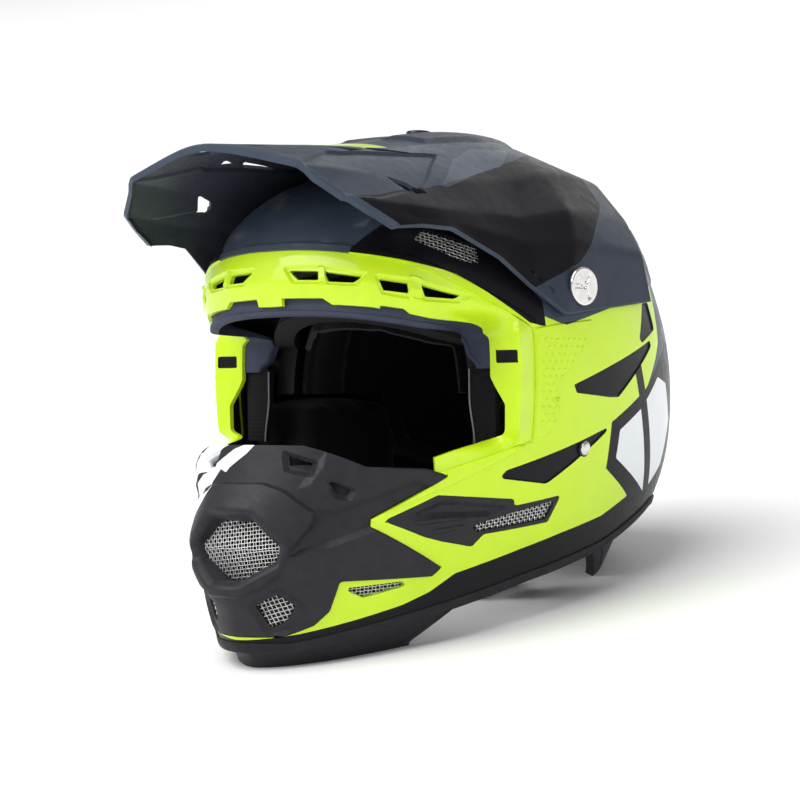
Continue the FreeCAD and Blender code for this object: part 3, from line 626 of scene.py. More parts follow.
class Finish:
    """A Principled material built up in steps."""

    def __init__(self, name, roughness, metallic=0.0):
        self.material = bpy.data.materials.new(name)
        self.material.use_nodes = True
        self.tree = self.material.node_tree
        self.shader = self.tree.nodes["Principled BSDF"]
        self.shader.inputs["Roughness"].default_value = roughness
        self.shader.inputs["Metallic"].default_value = metallic
        self.place = self.node("ShaderNodeTexCoord").outputs["Object"]
        self.heights = []

    def node(self, kind, inputs=None, **settings):
        made = self.tree.nodes.new(kind)
        for name, value in settings.items():
            setattr(made, name, value)
        for name, value in (inputs or {}).items():
            if isinstance(value, bpy.types.NodeSocket):
                self.tree.links.new(value, made.inputs[name])
            else:
                made.inputs[name].default_value = value
        return made

    def set(self, **sockets):
        for name, value in sockets.items():
            self.shader.inputs[name.replace("_", " ")].default_value = value
        return self

    def noise(self, size, detail=3.0, place=None):
        """Noise whose blotches are about that size in millimetres."""
        made = self.node("ShaderNodeTexNoise", {
            "Vector": place or self.place, "Scale": 1 / (size * MM), "Detail": detail})
        return made.outputs["Fac"]

    def cells(self, size, feature="F1"):
        made = self.node("ShaderNodeTexVoronoi", {"Vector": self.place, "Scale": 1 / (size * MM)}, feature=feature)
        return made.outputs["Distance"]

    def bands(self, size, axis, distortion=0.0):
        """Sine bands whose period is about that size in millimetres."""
        made = self.node("ShaderNodeTexWave", {
            "Vector": self.place, "Scale": 0.3142 / (size * MM), "Distortion": distortion},
            wave_type="BANDS", bands_direction=axis, wave_profile="SIN")
        return made.outputs["Fac"]

    def combine(self, operation, a, b):
        made = self.node("ShaderNodeMath", operation=operation)
        for socket, value in zip(made.inputs, (a, b)):
            if isinstance(value, bpy.types.NodeSocket):
                self.tree.links.new(value, socket)
            else:
                socket.default_value = value
        return made.outputs[0]

    def mapped(self, value, low, high, from_low=0.3, from_high=0.7):
        made = self.node("ShaderNodeMapRange", {
            "Value": value, "From Min": from_low, "From Max": from_high, "To Min": low, "To Max": high})
        return made.outputs["Result"]

    def colour(self, factor, dark, light, from_low=0.3, from_high=0.7):
        """Base colour between two colours, by a factor."""
        made = self.node("ShaderNodeMix", data_type="RGBA")
        self.tree.links.new(self.mapped(factor, 0.0, 1.0, from_low, from_high), made.inputs[0])
        made.inputs[6].default_value = dark
        made.inputs[7].default_value = light
        self.tree.links.new(made.outputs[2], self.shader.inputs["Base Color"])
        return self

    def roughness(self, factor, low, high):
        self.tree.links.new(self.mapped(factor, low, high), self.shader.inputs["Roughness"])
        return self

    def bump(self, height, depth, strength=1.0):
        """Relief of that depth in millimetres."""
        self.heights.append((height, depth, strength))
        return self

    def done(self):
        normal = None
        for height, depth, strength in self.heights:
            made = self.node("ShaderNodeBump", {"Height": height, "Distance": depth * MM, "Strength": strength})
            if normal is not None:
                self.tree.links.new(normal, made.inputs["Normal"])
            normal = made.outputs["Normal"]
        if normal is not None:
            self.tree.links.new(normal, self.shader.inputs["Normal"])
        return self.material


def shade(colour, factor):
    return tuple(min(1.0, channel * factor) for channel in colour[:3]) + (1.0,)


def paint_finish(name, colour, spread=0.05, coat=0.5, roughness=0.34, gloss=0.3):
    """Sprayed colour under clear lacquer: slight mottling, orange peel and fine wiping scratches."""
    finish = Finish(name, roughness)
    finish.colour(finish.noise(18.0), shade(colour, 1 - spread), shade(colour, 1 + spread))
    finish.roughness(finish.noise(6.0, 5.0), roughness - 0.06, roughness + 0.08)
    finish.bump(finish.noise(2.6, 1.0), 0.006)
    finish.set(Coat_Weight=coat, Coat_Roughness=0.05, Coat_IOR=1.45, Specular_IOR_Level=gloss)
    return finish.done()


def plastic_finish(name, colour, roughness=0.5, grain=0.55, depth=0.035, spread=0.14):
    """Moulded plastic with a spark-eroded grain."""
    finish = Finish(name, roughness)
    finish.colour(finish.noise(9.0, 4.0), shade(colour, 1 - spread), shade(colour, 1 + spread))
    finish.roughness(finish.noise(3.0, 4.0), roughness - 0.07, roughness + 0.09)
    finish.bump(finish.noise(grain, 2.0), depth)
    finish.set(Specular_IOR_Level=0.25)
    return finish.done()


def metal_finish(name, colour, roughness=0.25, streak=None):
    """Polished or zinc-plated steel with faint drawing marks."""
    finish = Finish(name, roughness, 1.0)
    finish.colour(finish.noise(4.0, 4.0), shade(colour, 0.86), colour)
    finish.roughness(finish.noise(1.2, 5.0), roughness - 0.08, roughness + 0.12)
    finish.bump(finish.noise(streak or 0.8, 4.0), 0.008)
    return finish.done()


def knit_finish(name, dark, light, cell, depth=0.25):
    """An open knit: round holes between raised yarns, over slow fading."""
    finish = Finish(name, 0.85)
    holes = finish.cells(cell)
    blotches = finish.noise(22.0, 3.0)
    finish.colour(finish.combine("ADD", holes, finish.combine("MULTIPLY", blotches, 0.35)), light, dark, 0.25, 0.95)
    finish.bump(finish.combine("SUBTRACT", 1.0, holes), depth)
    finish.bump(finish.noise(0.5, 3.0), 0.08)
    finish.set(Sheen_Weight=0.1, Sheen_Roughness=0.5, Specular_IOR_Level=0.15)
    return finish.done()


def webbing_finish(name, dark, light):
    """Narrow woven nylon: twill ribs along the band with fine picks across it."""
    finish = Finish(name, 0.62)
    ribs = finish.bands(1.9, "Y")
    picks = finish.bands(1.1, "DIAGONAL")
    weave = finish.combine("MULTIPLY", ribs, picks)
    blotches = finish.combine("MULTIPLY", finish.noise(14.0), 0.4)
    finish.colour(finish.combine("ADD", weave, blotches), dark, light, 0.1, 1.1)
    finish.bump(weave, 0.22)
    finish.bump(finish.noise(0.4, 3.0), 0.05)
    finish.set(Sheen_Weight=0.2)
    return finish.done()


def foam_finish(name, dark, light, bead=3.0, depth=0.12, roughness=0.75):
    """Expanded beads pressed together, with dark seams between them."""
    finish = Finish(name, roughness)
    seams = finish.cells(bead, "DISTANCE_TO_EDGE")
    finish.colour(seams, dark, light, 0.0, 0.12)
    finish.bump(finish.mapped(seams, 0.0, 1.0, 0.0, 0.15), depth)
    finish.bump(finish.noise(0.8, 3.0), 0.04)
    return finish.done()


NEON = srgb(203, 238, 30)
SLATE = srgb(64, 74, 88)
GLOSS_BLACK = srgb(20, 20, 25)
MATTE_BLACK = srgb(38, 37, 43)
WHITE = srgb(232, 237, 241)
GASKET_BLUE = srgb(60, 65, 84)


def make_materials():
    # Near-black knit for the cap liner, darker than black cloth itself: partly its own colour, partly painted shade
    # for the helmet's inside.
    soft_black, soft_grey = srgb(8, 8, 9), srgb(20, 20, 22)
    return {
        "yellow": paint_finish("paint_yellow", NEON, 0.02),
        "slate": paint_finish("paint_slate", SLATE, 0.07, 0.12, gloss=0.1),
        # The visor's slate, darker than the shell's: painted shade, so that its upward faces stay dark under the
        # overhead light.
        "visor_slate_painted_shade": paint_finish("visor_slate_painted_shade", srgb(54, 61, 73), 0.07, 0.1, 0.4, 0.06),
        "visor_black": paint_finish("visor_black", GLOSS_BLACK, 0.06, 0.08, 0.4, 0.05),
        "visor_under": plastic_finish("visor_under", srgb(52, 56, 66), 0.5, 0.9, 0.02),
        # Slate lighter than the visor's own: painted highlight, laid on the visor's lip, its lower edges and a strip
        # along its shoulder.
        "slate_highlight": paint_finish("slate_painted_highlight", srgb(66, 75, 88), 0.07, 0.1, gloss=0.06),
        "black": paint_finish("paint_black", GLOSS_BLACK, 0.06, 0.12, 0.36, 0.1),
        "white": paint_finish("paint_white", WHITE, 0.02),
        "inner_paint": plastic_finish("shell_laminate", srgb(33, 33, 36), 0.6, 1.4, 0.08, 0.3),
        "frame_yellow": paint_finish("frame_yellow", NEON, 0.035, coat=0.6, roughness=0.4),
        "matte_black": plastic_finish("matte_black", MATTE_BLACK, 0.48),
        "satin_black": plastic_finish("satin_black", srgb(34, 34, 39), 0.36, 0.8, 0.02),
        "rubber": plastic_finish("black_rubber", srgb(30, 30, 34), 0.62, 0.35, 0.03, 0.2),
        "nylon": plastic_finish("nylon_black", srgb(36, 36, 41), 0.45, 0.7, 0.03),
        "gasket": plastic_finish("gasket_grey", GASKET_BLUE, 0.66, 0.9, 0.05, 0.1),
        "wire": metal_finish("mesh_steel", (0.78, 0.78, 0.77, 1), 0.28),
        "steel": metal_finish("steel", (0.72, 0.71, 0.69, 1), 0.22),
        "screw": metal_finish("screw_metal", (0.82, 0.80, 0.78, 1), 0.16),
        "dark_screw": metal_finish("screw_blacked", (0.06, 0.06, 0.065, 1), 0.35),
        # Near black for the inner sides of the chin guard and eyeport surround, darker than their outer faces:
        # painted shade for sides that face the shadowed inside.
        "back_painted_shade": plastic_finish("vent_black", srgb(20, 20, 22), 0.6, 0.6, 0.02),
        # Near-black foam for the liners, darker than black foam itself: partly its own colour, partly painted shade
        # for the helmet's inside.
        "liner_foam": foam_finish("liner_foam", srgb(8, 8, 9), srgb(17, 17, 19)),
        # Dampers in dark grey, not their own colour, so that where they show between the liners they read as shade:
        # painted shade.
        "damper": plastic_finish("damper_rubber", srgb(26, 26, 28), 0.5, 0.8, 0.02),
        "fabric": knit_finish("comfort_fabric", soft_black, soft_grey, 1.5),
        "cheek": knit_finish("cheek_fabric", srgb(8, 8, 9), srgb(22, 22, 25), 0.9, 0.12),
        "piping": plastic_finish("piping", srgb(120, 124, 130), 0.55, 0.5, 0.03),
        "webbing": webbing_finish("webbing", srgb(16, 16, 18), srgb(52, 52, 57)),
    }


M = make_materials()


# ---- shell ----
def both(outline):
    return [outline, [(-x, z) for x, z in outline]]


REAR_SLOT_X, REAR_SLOT_HALF, REAR_SLOT_Z = 50.0, 14.0, (226.0, 240.0)


def rear_slots():
    """A field of the two exhaust slots behind the crown."""
    def field(points):
        across = REAR_SLOT_HALF - np.abs(np.abs(points[:, 0]) - REAR_SLOT_X)
        low, high = REAR_SLOT_Z
        return np.minimum.reduce([across, points[:, 2] - low, high - points[:, 2], points[:, 1] - 80])
    return field


def shell_paint(skin):
    """Colours of the shell: 0 slate, 1 yellow, 2 black, 3 white, 4 light slate."""
    skin.coat(side(YELLOW_SIDE), 1)
    skin.coat(negative(over_line([(-FAR, 12), (-165, 12), (-149, 16), (-126, 23.5), (-104, 31), (-90, 38), (-77, 48),
                                  (-36, 60), (-5, 68), (33, 76), (61, 87), (120, 112), (FAR, 130)])), 2)
    skin.coat(side([(29, 105), (31, 133), (53, 143), (74, 153), (100, 172), (118, 182), (FAR, 184), (FAR, 80),
                    (62, 80), (62, 87)]), 2)
    skin.coat(side(REAR_WHITE), 3)
    skin.coat(side(REAR_SHARD), 2)
    for outline in SIDE_SHAPES:
        skin.coat(side(outline, 2.0), 2)
    skin.coat(side([(-FAR, 230), (-123, 233), (-107, 228), (-84, 220), (-61, 204), (-43, 192), (-30, 190), (-30, 205),
                    (-52, 226), (-64, 250), (-96, 268), (-FAR, 272)]), 2)
    skin.coat(front([(0, 226), (50, 222), (52, 236), (66, 256), (66, 300), (0, 300)]), 0)


def make_shell():
    skin = shell_skin(2.0)
    rim = over_line(RIM_LINE)
    skin.keep(rim)
    skin.remove(side(GUARD_OUTLINE))
    skin.remove(side(SHELL_OPENING, 5.0))
    for outline in (SIDE_VENT, JAW_MESH, BROW_MESH):
        skin.remove(side(outline, 2.0))
    skin.remove(rear_slots())
    shell_paint(skin)
    brow = side(SHELL_OPENING, 5.0)
    bead = lambda points: np.minimum(brow(points) + 5.5, points[:, 2] - 190)
    skin.raise_by(bead, 1.1, 1.6)
    for outline in SIDE_SHAPES:
        skin.raise_by(side(outline, 2.0), -1.0, 1.0)
    skin.raise_by(side(FLANGE, 1.0), 0.9, 0.9)
    skin_object("shell", skin, SHELL_WALL, [M["slate"], M["yellow"], M["black"], M["white"], M["slate_highlight"]],
                "helmet", back=M["inner_paint"], hides=["outer_shell"], slot="shell_paint")


def make_chin_bar():
    """The shell's chin bar, which lies behind the chin guard. It stays closed behind the lower screens: a dark sheet
    as painted shade where the vents open into shadow.
    """
    skin = shell_skin(3.0, -5.0, 135.0, angles=(-175, -5), inset=3.3)
    skin.keep(over_line(RIM_LINE)).keep(side([(-FAR, -60), (-80, -60), (-80, 112), (-FAR, 112)]))
    # Only the mouth is cut through; behind the chin screens the bar stays closed, as painted shade.
    skin.remove(side(SHELL_OPENING, 5.0)).remove(front(MOUTH, 2.0))
    skin_object("shell_chin_bar", skin, 4.2, [M["inner_paint"]], "helmet", slot="matte_black")


def make_dots():
    """Rows of small raised dots over the temple."""
    pitch, size, rise = 5.0, 1.25, 0.7
    parts = []
    for row in range(14):
        for column in range(11):
            y = -42 + (column + 0.5 * (row % 2)) * pitch
            z = 130 + row * pitch * 0.87
            if inside(np.array([[y, z]]), DOT_ZONE)[0] < 1.2:
                continue
            for sign in (1, -1):
                patch = lambda a, b: on_shell(a, b, True, sign)
                first, second = np.array([y], float), np.array([z], float)
                point, normal = patch(first, second)[0], patch_normals(patch, first, second)[0]
                profile = [(size, 0.2), (size * 0.95, 0.75), (size * 0.8, 0.9 + rise * 0.5),
                           (size * 0.45, 0.9 + rise * 0.9), (0.05, 0.9 + rise)]
                parts.append(turned(profile, point, normal, 10))
    points, faces = merged(parts)
    make_object("temple_dots", points, faces, [M["yellow"]], "helmet", slot="shell_paint", sharp=math.radians(80))


def sweep_rim(name, section, shift, material, hides, slot, body="helmet"):
    """A moulding round the shell's lower edge: section as (up the wall, outwards)."""
    steps = 420
    angle = np.linspace(-np.pi, np.pi, steps, endpoint=False)
    height = np.full(steps, 40.0)
    ys, zs = zip(*RIM_LINE)
    for _ in range(12):
        point = ring_surface(SHELL_RINGS, angle, length_at_height(SHELL_RINGS, height))
        height = np.interp(point[:, 1], ys, zs) + shift
    length = length_at_height(SHELL_RINGS, height)
    step = 0.5
    up = unit(ring_surface(SHELL_RINGS, angle, length + step) - ring_surface(SHELL_RINGS, angle, length - step))
    along = ring_surface(SHELL_RINGS, angle + 0.01, length) - ring_surface(SHELL_RINGS, angle - 0.01, length)
    normal = unit(np.cross(along, up))
    rows = np.array(section, float)
    count = len(rows)
    grid = point[:, None] + up[:, None] * rows[None, :, :1] + normal[:, None] * rows[None, :, 1:]
    faces = []
    for i in range(steps):
        k = (i + 1) % steps
        for j in range(count):
            m = (j + 1) % count
            faces.append([i * count + j, k * count + j, k * count + m, i * count + m])
    make_object(name, grid.reshape(-1, 3), faces, [M[material]], body, hides=hides, slot=slot)


def make_rim_trim():
    inner, outer = -SHELL_WALL - 1.1, 1.2
    section = [(4.2, 0.05), (4.0, 0.8), (3.2, outer), (-0.6, outer + 0.5), (-1.8, outer + 0.2), (-2.4, 0.2),
               (-2.5, -2.2), (-2.2, inner + 0.8), (-1.2, inner), (7.6, inner), (8.0, inner + 0.5),
               (8.0, -SHELL_WALL - 0.05),
               (0.1, -SHELL_WALL - 0.05), (0.1, 0.05)]
    sweep_rim("rim_moulding", section[::-1], 0.0, "rubber", ["rim_trim"], "black_rubber")


# ---- chin guard ----
HOOD = [(-24, 101), (17, 102), (30, 98), (46, 86), (46, 79), (33, 60), (31, 51), (20, 42), (8, 37), (-8, 37),
        (-20, 42), (-31, 51), (-33, 60), (-46, 79), (-46, 86), (-32, 98)]
INTAKES = [
    ([(23, 121), (45, 114.5), (44, 104.5), (27, 108)], [(27, 118), (42, 113.5), (40, 109), (29, 112)]),
    ([(48, 107), (64, 98), (61, 91), (54, 93)], [(51, 104), (61, 98), (59, 94.5), (54, 97)]),
]
CHANNEL = [(45, 88), (53, 87), (67, 94), (86, 104), (93, 99), (80, 84), (69, 74), (53, 66), (41, 62), (33, 60)]
PYRAMID = [(49, 121), (36, 98), (46, 92), (57, 101)]


def snout(points):
    """How much the guard swells round the mouth vent."""
    gap = -front(MOUTH, 3.0, mirror=False)(points)
    return 4.5 * (1 - ramp(gap, 4.0, 22.0)) * ramp(gap, -2.0, 4.0)


def make_chin_guard():
    skin = shell_skin(1.3, 0.0, 132.0, angles=(-172, -8))
    skin.keep(side(GUARD_OUTLINE, 2.0)).keep(over_line(RIM_LINE, 8.5))
    skin.remove(side(EYE_OPENING))
    skin.remove(front(MOUTH, 3.0, mirror=False))
    skin.lift += GUARD_PROUD
    skin.lift += snout(skin.base)
    skin.raise_by(front(CHANNEL, 3.0), -3.0, 3.2)
    skin.raise_by(front(HOOD, 3.0, mirror=False), 2.8, 1.8)
    skin.raise_by(front(PYRAMID), 2.4, 4.5)
    for outer, inner in INTAKES:
        skin.raise_by(front(outer, 2.0), -3.0, 2.6)
        skin.remove(front(inner, 1.2))
    mouth = front(MOUTH, 3.0, mirror=False)
    skin.round_edge(negative(mouth), 3.0)
    lower = front([(11, 34), (29, 45), (41, 32), (31, 17), (19, 13)], 3.0)
    skin.raise_by(lower, -2.2, 2.4)
    skin.remove(front(CHIN_MESH, 2.0))
    skin.round_edge(side(GUARD_OUTLINE, 2.0), 1.2)
    shards = [(8, 126), (0, 118), (-12, 110), (-20, 101), (-30, 88), (-40, 80), (-60, 74), (-78, 84), (-60, 112),
              (-30, 126)]
    skin.coat(front(shards, mirror=False), 1)
    for gap in ([(0, 124), (-10, 121), (-26, 112), (-34, 110), (-22, 121), (-8, 126)],
                [(-14, 107), (-20, 109), (-27, 101), (-31, 94), (-25, 96)],
                [(-40, 108), (-44, 106), (-52, 84), (-47, 86)]):
        skin.coat(front(gap, mirror=False), 0)
    # The guard's inner side in the near black: painted shade.
    skin_object("chin_guard_cover", skin, 4.2, [M["matte_black"], M["white"]], "helmet", back=M["back_painted_shade"],
                hides=["chin_guard"], slot="matte_black")


# ---- eyeport ----
FRAME_INNER = [
    (-FAR, 204.5), (-139, 204), (-132, 204), (-122, 202), (-108, 198), (-86, 192), (-75, 189), (-68, 184),
    (-68, 161), (-65, 155), (-59, 145), (-58, 128), (-104, 112), (-128, 113), (-146, 123), (-FAR, 124),
]
FRAME_NOTCHES = [
    [(8, 190), (10, 208.5), (38, 208), (46, 203), (46, 190)],
    [(70, 180), (71, 203), (82, 201), (86, 197), (86, 180)],
]
SEAL_INNER = [
    (-FAR, 200), (-139, 199.5), (-120, 195), (-92, 188), (-82, 181), (-79, 173), (-70, 166), (-FAR, 163),
]
BROW_CUTS = [
    [(14, 224.5), (35, 223.5), (36, 218), (22, 218.5)], [(39, 223), (61, 219.5), (57, 216), (42, 217)],
    [(69, 218), (82, 215.5), (83.5, 209.5), (72, 211.5)], [(87, 214.5), (102, 208), (100, 206), (90, 207.5)],
]
BROW_POCKETS = [
    [(10, 227), (37, 226.5), (65, 221.5), (59, 213.5), (36, 215.5), (19, 216)],
    [(66, 221), (84, 218), (106, 208), (102, 203), (88, 205), (71, 209)],
]
BROW_BARS = [[(34.5, 226), (39.5, 226), (42.5, 215), (37, 215)], [(81.5, 220), (87.5, 218), (90.5, 204), (84, 206)]]


POST_CREASE = -50.0            # y of the crease where the eyeport's side posts turn to face forwards
POST_WIDTH = 18.0              # depth in y, on the shell's surface, that the facing part takes


def post_share(points):
    """1 on the eyeport's side posts, fading to 0 at the brow and at the cheek."""
    return ramp(points[:, 2], 118, 130) * (1 - ramp(points[:, 2], 184, 202)) * ramp(-points[:, 1], 38, 40) * (
        1 - ramp(-points[:, 1], 86, 100))


def post_shape(skin):
    """Turn the side posts from the shell's surface to a flat face towards the front."""
    share = post_share(skin.base)[:, None]
    outer = np.clip((-40.0 - skin.base[:, 1]) / 10, 0, 1)
    inner = np.clip((POST_CREASE - skin.base[:, 1]) / POST_WIDTH, 0, 1.2)
    sign = np.sign(skin.base[:, 0])
    crease_x = np.abs(on_shell(np.full(len(sign), POST_CREASE), skin.base[:, 2])[:, 0]) + 4.5
    on_side = np.stack([skin.base[:, 0] + sign * 4.5 * outer, skin.base[:, 1] - 6.0 * outer, skin.base[:, 2]], -1)
    facing = np.stack([sign * (crease_x - 23.5 * inner), POST_CREASE - 6.0 + 1.0 * inner, skin.base[:, 2]], -1)
    target = np.where((inner > 0)[:, None], facing, on_side)
    skin.base = skin.base * (1 - share) + target * share
    front_way = np.stack([sign * 0.25, np.full(len(sign), -0.97), np.zeros(len(sign))], -1)
    turn = share * ramp(inner, -0.01, 0.25)[:, None]
    skin.normals = unit(skin.normals * (1 - turn) + front_way * turn)


def make_eyeport_frame():
    skin = shell_skin(1.3, 100.0, 245.0, angles=(-176, -4), inset=0.3)
    skin.keep(side(SHELL_OPENING, 5.0)).remove(side(FRAME_INNER, 4.0))
    skin.remove(side([(-FAR, 60), (-96, 60), (-96, 150), (-FAR, 150)]))
    edge = negative(side(FRAME_INNER, 4.0))
    skin.cut(edge, 14.0).cut(lambda points: POST_CREASE - points[:, 1])
    width = np.abs(skin.base[:, 0])
    facet = np.interp(width, [0, 9, 40, 68, 90, 110], [1.0, 0.78, 1.0, 0.72, 1.0, 0.9])
    fall = np.clip(1 - skin.levelled(edge, 14.0) / 14.0, 0, 1)
    post = post_share(skin.base)
    skin.lift -= 6.5 * np.where(skin.base[:, 2] > 195, facet, 1.0) * fall * (1 - post)
    for pocket in BROW_POCKETS:
        skin.raise_by(front(pocket, 2.0), -1.7, 1.6)
    for bar in BROW_BARS:
        skin.raise_by(front(bar, 0.6), 1.5, 0.9)
    for notch in FRAME_NOTCHES:
        skin.remove(front(notch, 1.0))
    for cut in BROW_CUTS:
        skin.remove(front(cut, 0.9))
    skin.coat(side([(-52, 176.5), (-64.5, 176.5), (-64.5, 169), (-52, 169)], 0.8), 1)
    post_shape(skin)
    # The surround's inner side in the near black: painted shade.
    skin_object("eyeport_surround", skin, 2.6, [M["frame_yellow"], M["black"]], "helmet", back=M["back_painted_shade"],
                hides=["eyeport_frame"], slot="frame_yellow")


def make_gasket():
    skin = shell_skin(1.6, 155.0, 240.0, angles=(-176, -4), inset=8.4)
    skin.keep(side([(-FAR, 216), (-130, 214), (-100, 205), (-64, 192), (-54, 184), (-54, 160), (-FAR, 160)], 3.0))
    skin.remove(side(SEAL_INNER, 4.0)).keep(lambda points: points[:, 2] - 166)
    skin.round_edge(negative(side(SEAL_INNER, 4.0)), 1.8)
    skin.raise_by(lambda points: side(SEAL_INNER, 4.0)(points) + 3.4, 1.0, 0.6)
    share = ((1 - ramp(skin.base[:, 2], 184, 200)) * (1 - ramp(-skin.base[:, 1], 88, 100)))[:, None]
    across = np.clip((-60.0 - skin.base[:, 1]) / 19, -0.2, 1.2)
    sign = np.sign(skin.base[:, 0])
    target = np.stack([sign * (100 - 20 * across), -53.0 + 2 * across, skin.base[:, 2]], -1)
    skin.base = skin.base * (1 - share) + target * share
    forward = np.stack([sign * 0.1, np.full(len(sign), -0.99), np.zeros(len(sign))], -1)
    skin.normals = unit(skin.normals * (1 - share) + forward * share)
    skin_object("eyeport_seal", skin, 3.8, [M["gasket"]], "helmet", hides=["eyeport_gasket"], slot="gasket_grey")


def make_seal_strips():
    """The seal's ribbed side strips, with piping along their inner edges."""
    for name, sign in (("left", 1), ("right", -1)):
        heights = np.arange(122.0, 168.01, 0.55)
        ribs = 0.55 * np.abs(np.sin(np.pi * (heights - 122) / 2.6))
        rows = []
        for z, rib in zip(heights, ribs):
            inner = 81 + 3.5 * (1 - ramp(z, 122, 150))
            profile = [(inner, -46.5), (inner, -49.5 - rib), (inner + 5, -50.2 - rib)]
            profile += [(95, -50.5 - rib), (100, -50 - rib), (100, -46.5)]
            rows.append([(sign * x, y, z) for x, y in profile])
        grid = np.array(rows)
        wide = grid.shape[1]
        faces = []
        for i in range(len(grid) - 1):
            for j in range(wide):
                k = (j + 1) % wide
                faces.append([i * wide + j, i * wide + k, (i + 1) * wide + k, (i + 1) * wide + j])
        faces += [list(range(wide)), list(range((len(grid) - 1) * wide, len(grid) * wide))]
        make_object("seal_strip_" + name, grid.reshape(-1, 3), faces, [M["cheek"]], "helmet", slot="gasket_grey",
                    sharp=math.radians(70))
        path = [(sign * (81 + 3.5 * (1 - ramp(z, 122, 150))), -50.6, z) for z in np.arange(122, 168, 2.0)]
        points, faces = tube(path, 0.55, 8)
        make_object("seal_piping_" + name, points, faces, [M["piping"]], "helmet", slot="gasket_grey",
                    sharp=math.radians(80))


# ---- vents and screens ----
def woven(name, patch, centre, size, pitch, wire, outline_field, depth, body, hides, tilt=0.0):
    """A woven wire screen on a patch, clipped to a field, that far under the patch's surface."""
    parts = []
    steps = 4
    for along_first in (True, False):
        lines = int(size / pitch) + 1
        for line in range(-lines, lines + 1):
            s = np.arange(-lines * steps, lines * steps + 1) * pitch / steps
            t = np.full(s.shape, (line + 0.5) * pitch)
            u, v = (s, t) if along_first else (t, s)
            first = centre[0] + u * math.cos(tilt) - v * math.sin(tilt)
            second = centre[1] + u * math.sin(tilt) + v * math.cos(tilt)
            flat = np.stack([first, second], -1)
            room = outline_field(flat)
            if not (room > -1.2).any():
                continue
            points = patch(first, second)
            normals = patch_normals(patch, first, second)
            weave = wire * 0.95 * np.cos(np.pi * s / pitch + np.pi * (line % 2)) * (1 if along_first else -1)
            points = points - normals * depth + normals * weave[:, None]
            ends = np.flatnonzero(np.diff(np.concatenate([[False], room > -1.2, [False]]).astype(int)))
            for start, stop in zip(ends[::2], ends[1::2]):
                if stop - start >= 3:
                    parts.append(tube(points[start:stop], wire, 5))
    points, faces = merged(parts)
    make_object(name, points, faces, [M["wire"]], body, hides=hides, slot="mesh_steel", sharp=math.radians(80))


def front_patch(first, second):
    return on_shell(first, second, False)


def mouth_patch(first, second):
    """The mouth screen: folded forward along its middle."""
    points = on_shell(np.zeros_like(first), np.full_like(second, 64.0), False)
    points[..., 0], points[..., 2] = first, second
    points[..., 1] += 0.004 * first ** 2 + 0.15 * np.abs(second - 64) + 2.0
    return points


def make_screens():
    def clip(outline):
        return lambda flat: inside(flat, outline)
    woven("mouth_screen", mouth_patch, (0, 64), 34, 2.2, 0.3, clip(MOUTH), 3.0, "helmet", ["mouth_mesh"], 0.12)
    for name, sign in (("left", 1), ("right", -1)):
        chin = [(sign * x, z) for x, z in CHIN_MESH]
        woven("chin_screen_" + name, front_patch, (sign * 25, 29), 16, 2.4, 0.32, clip(chin), 2.6, "helmet",
              ["chin_mesh_" + name], 0.3 * sign)
        flank = lambda first, second, sign=sign: on_shell(first, second, True, sign)
        woven("side_screen_" + name, flank, (-39, 79), 30, 1.9, 0.3, clip(SIDE_MESH), 2.2, "helmet",
              ["side_mesh_" + name], 0.12)
        woven("jaw_screen_" + name, flank, (-120, 41), 20, 1.9, 0.3, clip(JAW_MESH), 2.2, "helmet",
              ["jaw_mesh_" + name], 0.1)
        woven("brow_screen_" + name, flank, (-80, 236), 20, 1.9, 0.3, clip(BROW_MESH), 2.0, "helmet",
              ["brow_mesh_" + name], -0.4)
    rear = lambda first, second: on_shell_back(first, second)
    for name, sign in (("left", 1), ("right", -1)):
        slot = [(sign * REAR_SLOT_X + a * REAR_SLOT_HALF, z)
                for a, z in ((-1, 226), (1, 226), (1, 240), (-1, 240))]
        hides = ["rear_mesh"] if sign > 0 else []
        woven("rear_screen_" + name, rear, (sign * REAR_SLOT_X, 233), 20, 2.2, 0.35, clip(slot), 2.0, "helmet", hides)


def on_shell_back(first, second):
    """Points of the shell's rear seen from behind at (x, z)."""
    height = np.asarray(second, float)
    length = length_at_height(SHELL_RINGS, height)
    values = spline(profile_knots(SHELL_RINGS), SHELL_RINGS, np.ravel(length)).T.reshape((7,) + height.shape)
    _, width, centre, back, _, power, _ = values
    share = np.clip(1 - np.abs(first / width) ** power, 0, 1)
    return np.stack([first, centre + (back - centre) * share ** (1 / power), height], -1)


def make_side_vents():
    for name, sign in (("left", 1), ("right", -1)):
        angles = (-80, 20) if sign > 0 else (-200, -100)
        skin = shell_skin(1.3, 50.0, 105.0, angles=angles, inset=0.4)
        skin.keep(side(SIDE_VENT, 2.0)).remove(side(SIDE_MESH, 2.0))
        skin.raise_by(side([(-112, 81), (-92, 91), (-52, 87), (-50, 86), (-62, 80)], 1.5), -2.0, 3.0)
        skin.raise_by(side([(-108, 80), (-76, 82.5), (-76, 79.5), (-104, 76.5)]), 0.8, 1.0)
        skin.raise_by(side([(-98, 74), (-76, 77), (-76, 74), (-94, 71)]), 0.8, 1.0)
        skin_object("side_vent_panel_" + name, skin, 3.6, [M["satin_black"]], "helmet",
                    hides=["side_vent_" + name], slot="matte_black")


# ---- skirt, neck guard, spoiler ----
def base_plane(points):
    """Height above the standing plane, square to it."""
    rise = points[:, 2] - BASE_POINT[1] - (points[:, 1] - BASE_POINT[0]) * math.tan(REST_PITCH)
    return rise * math.cos(REST_PITCH)


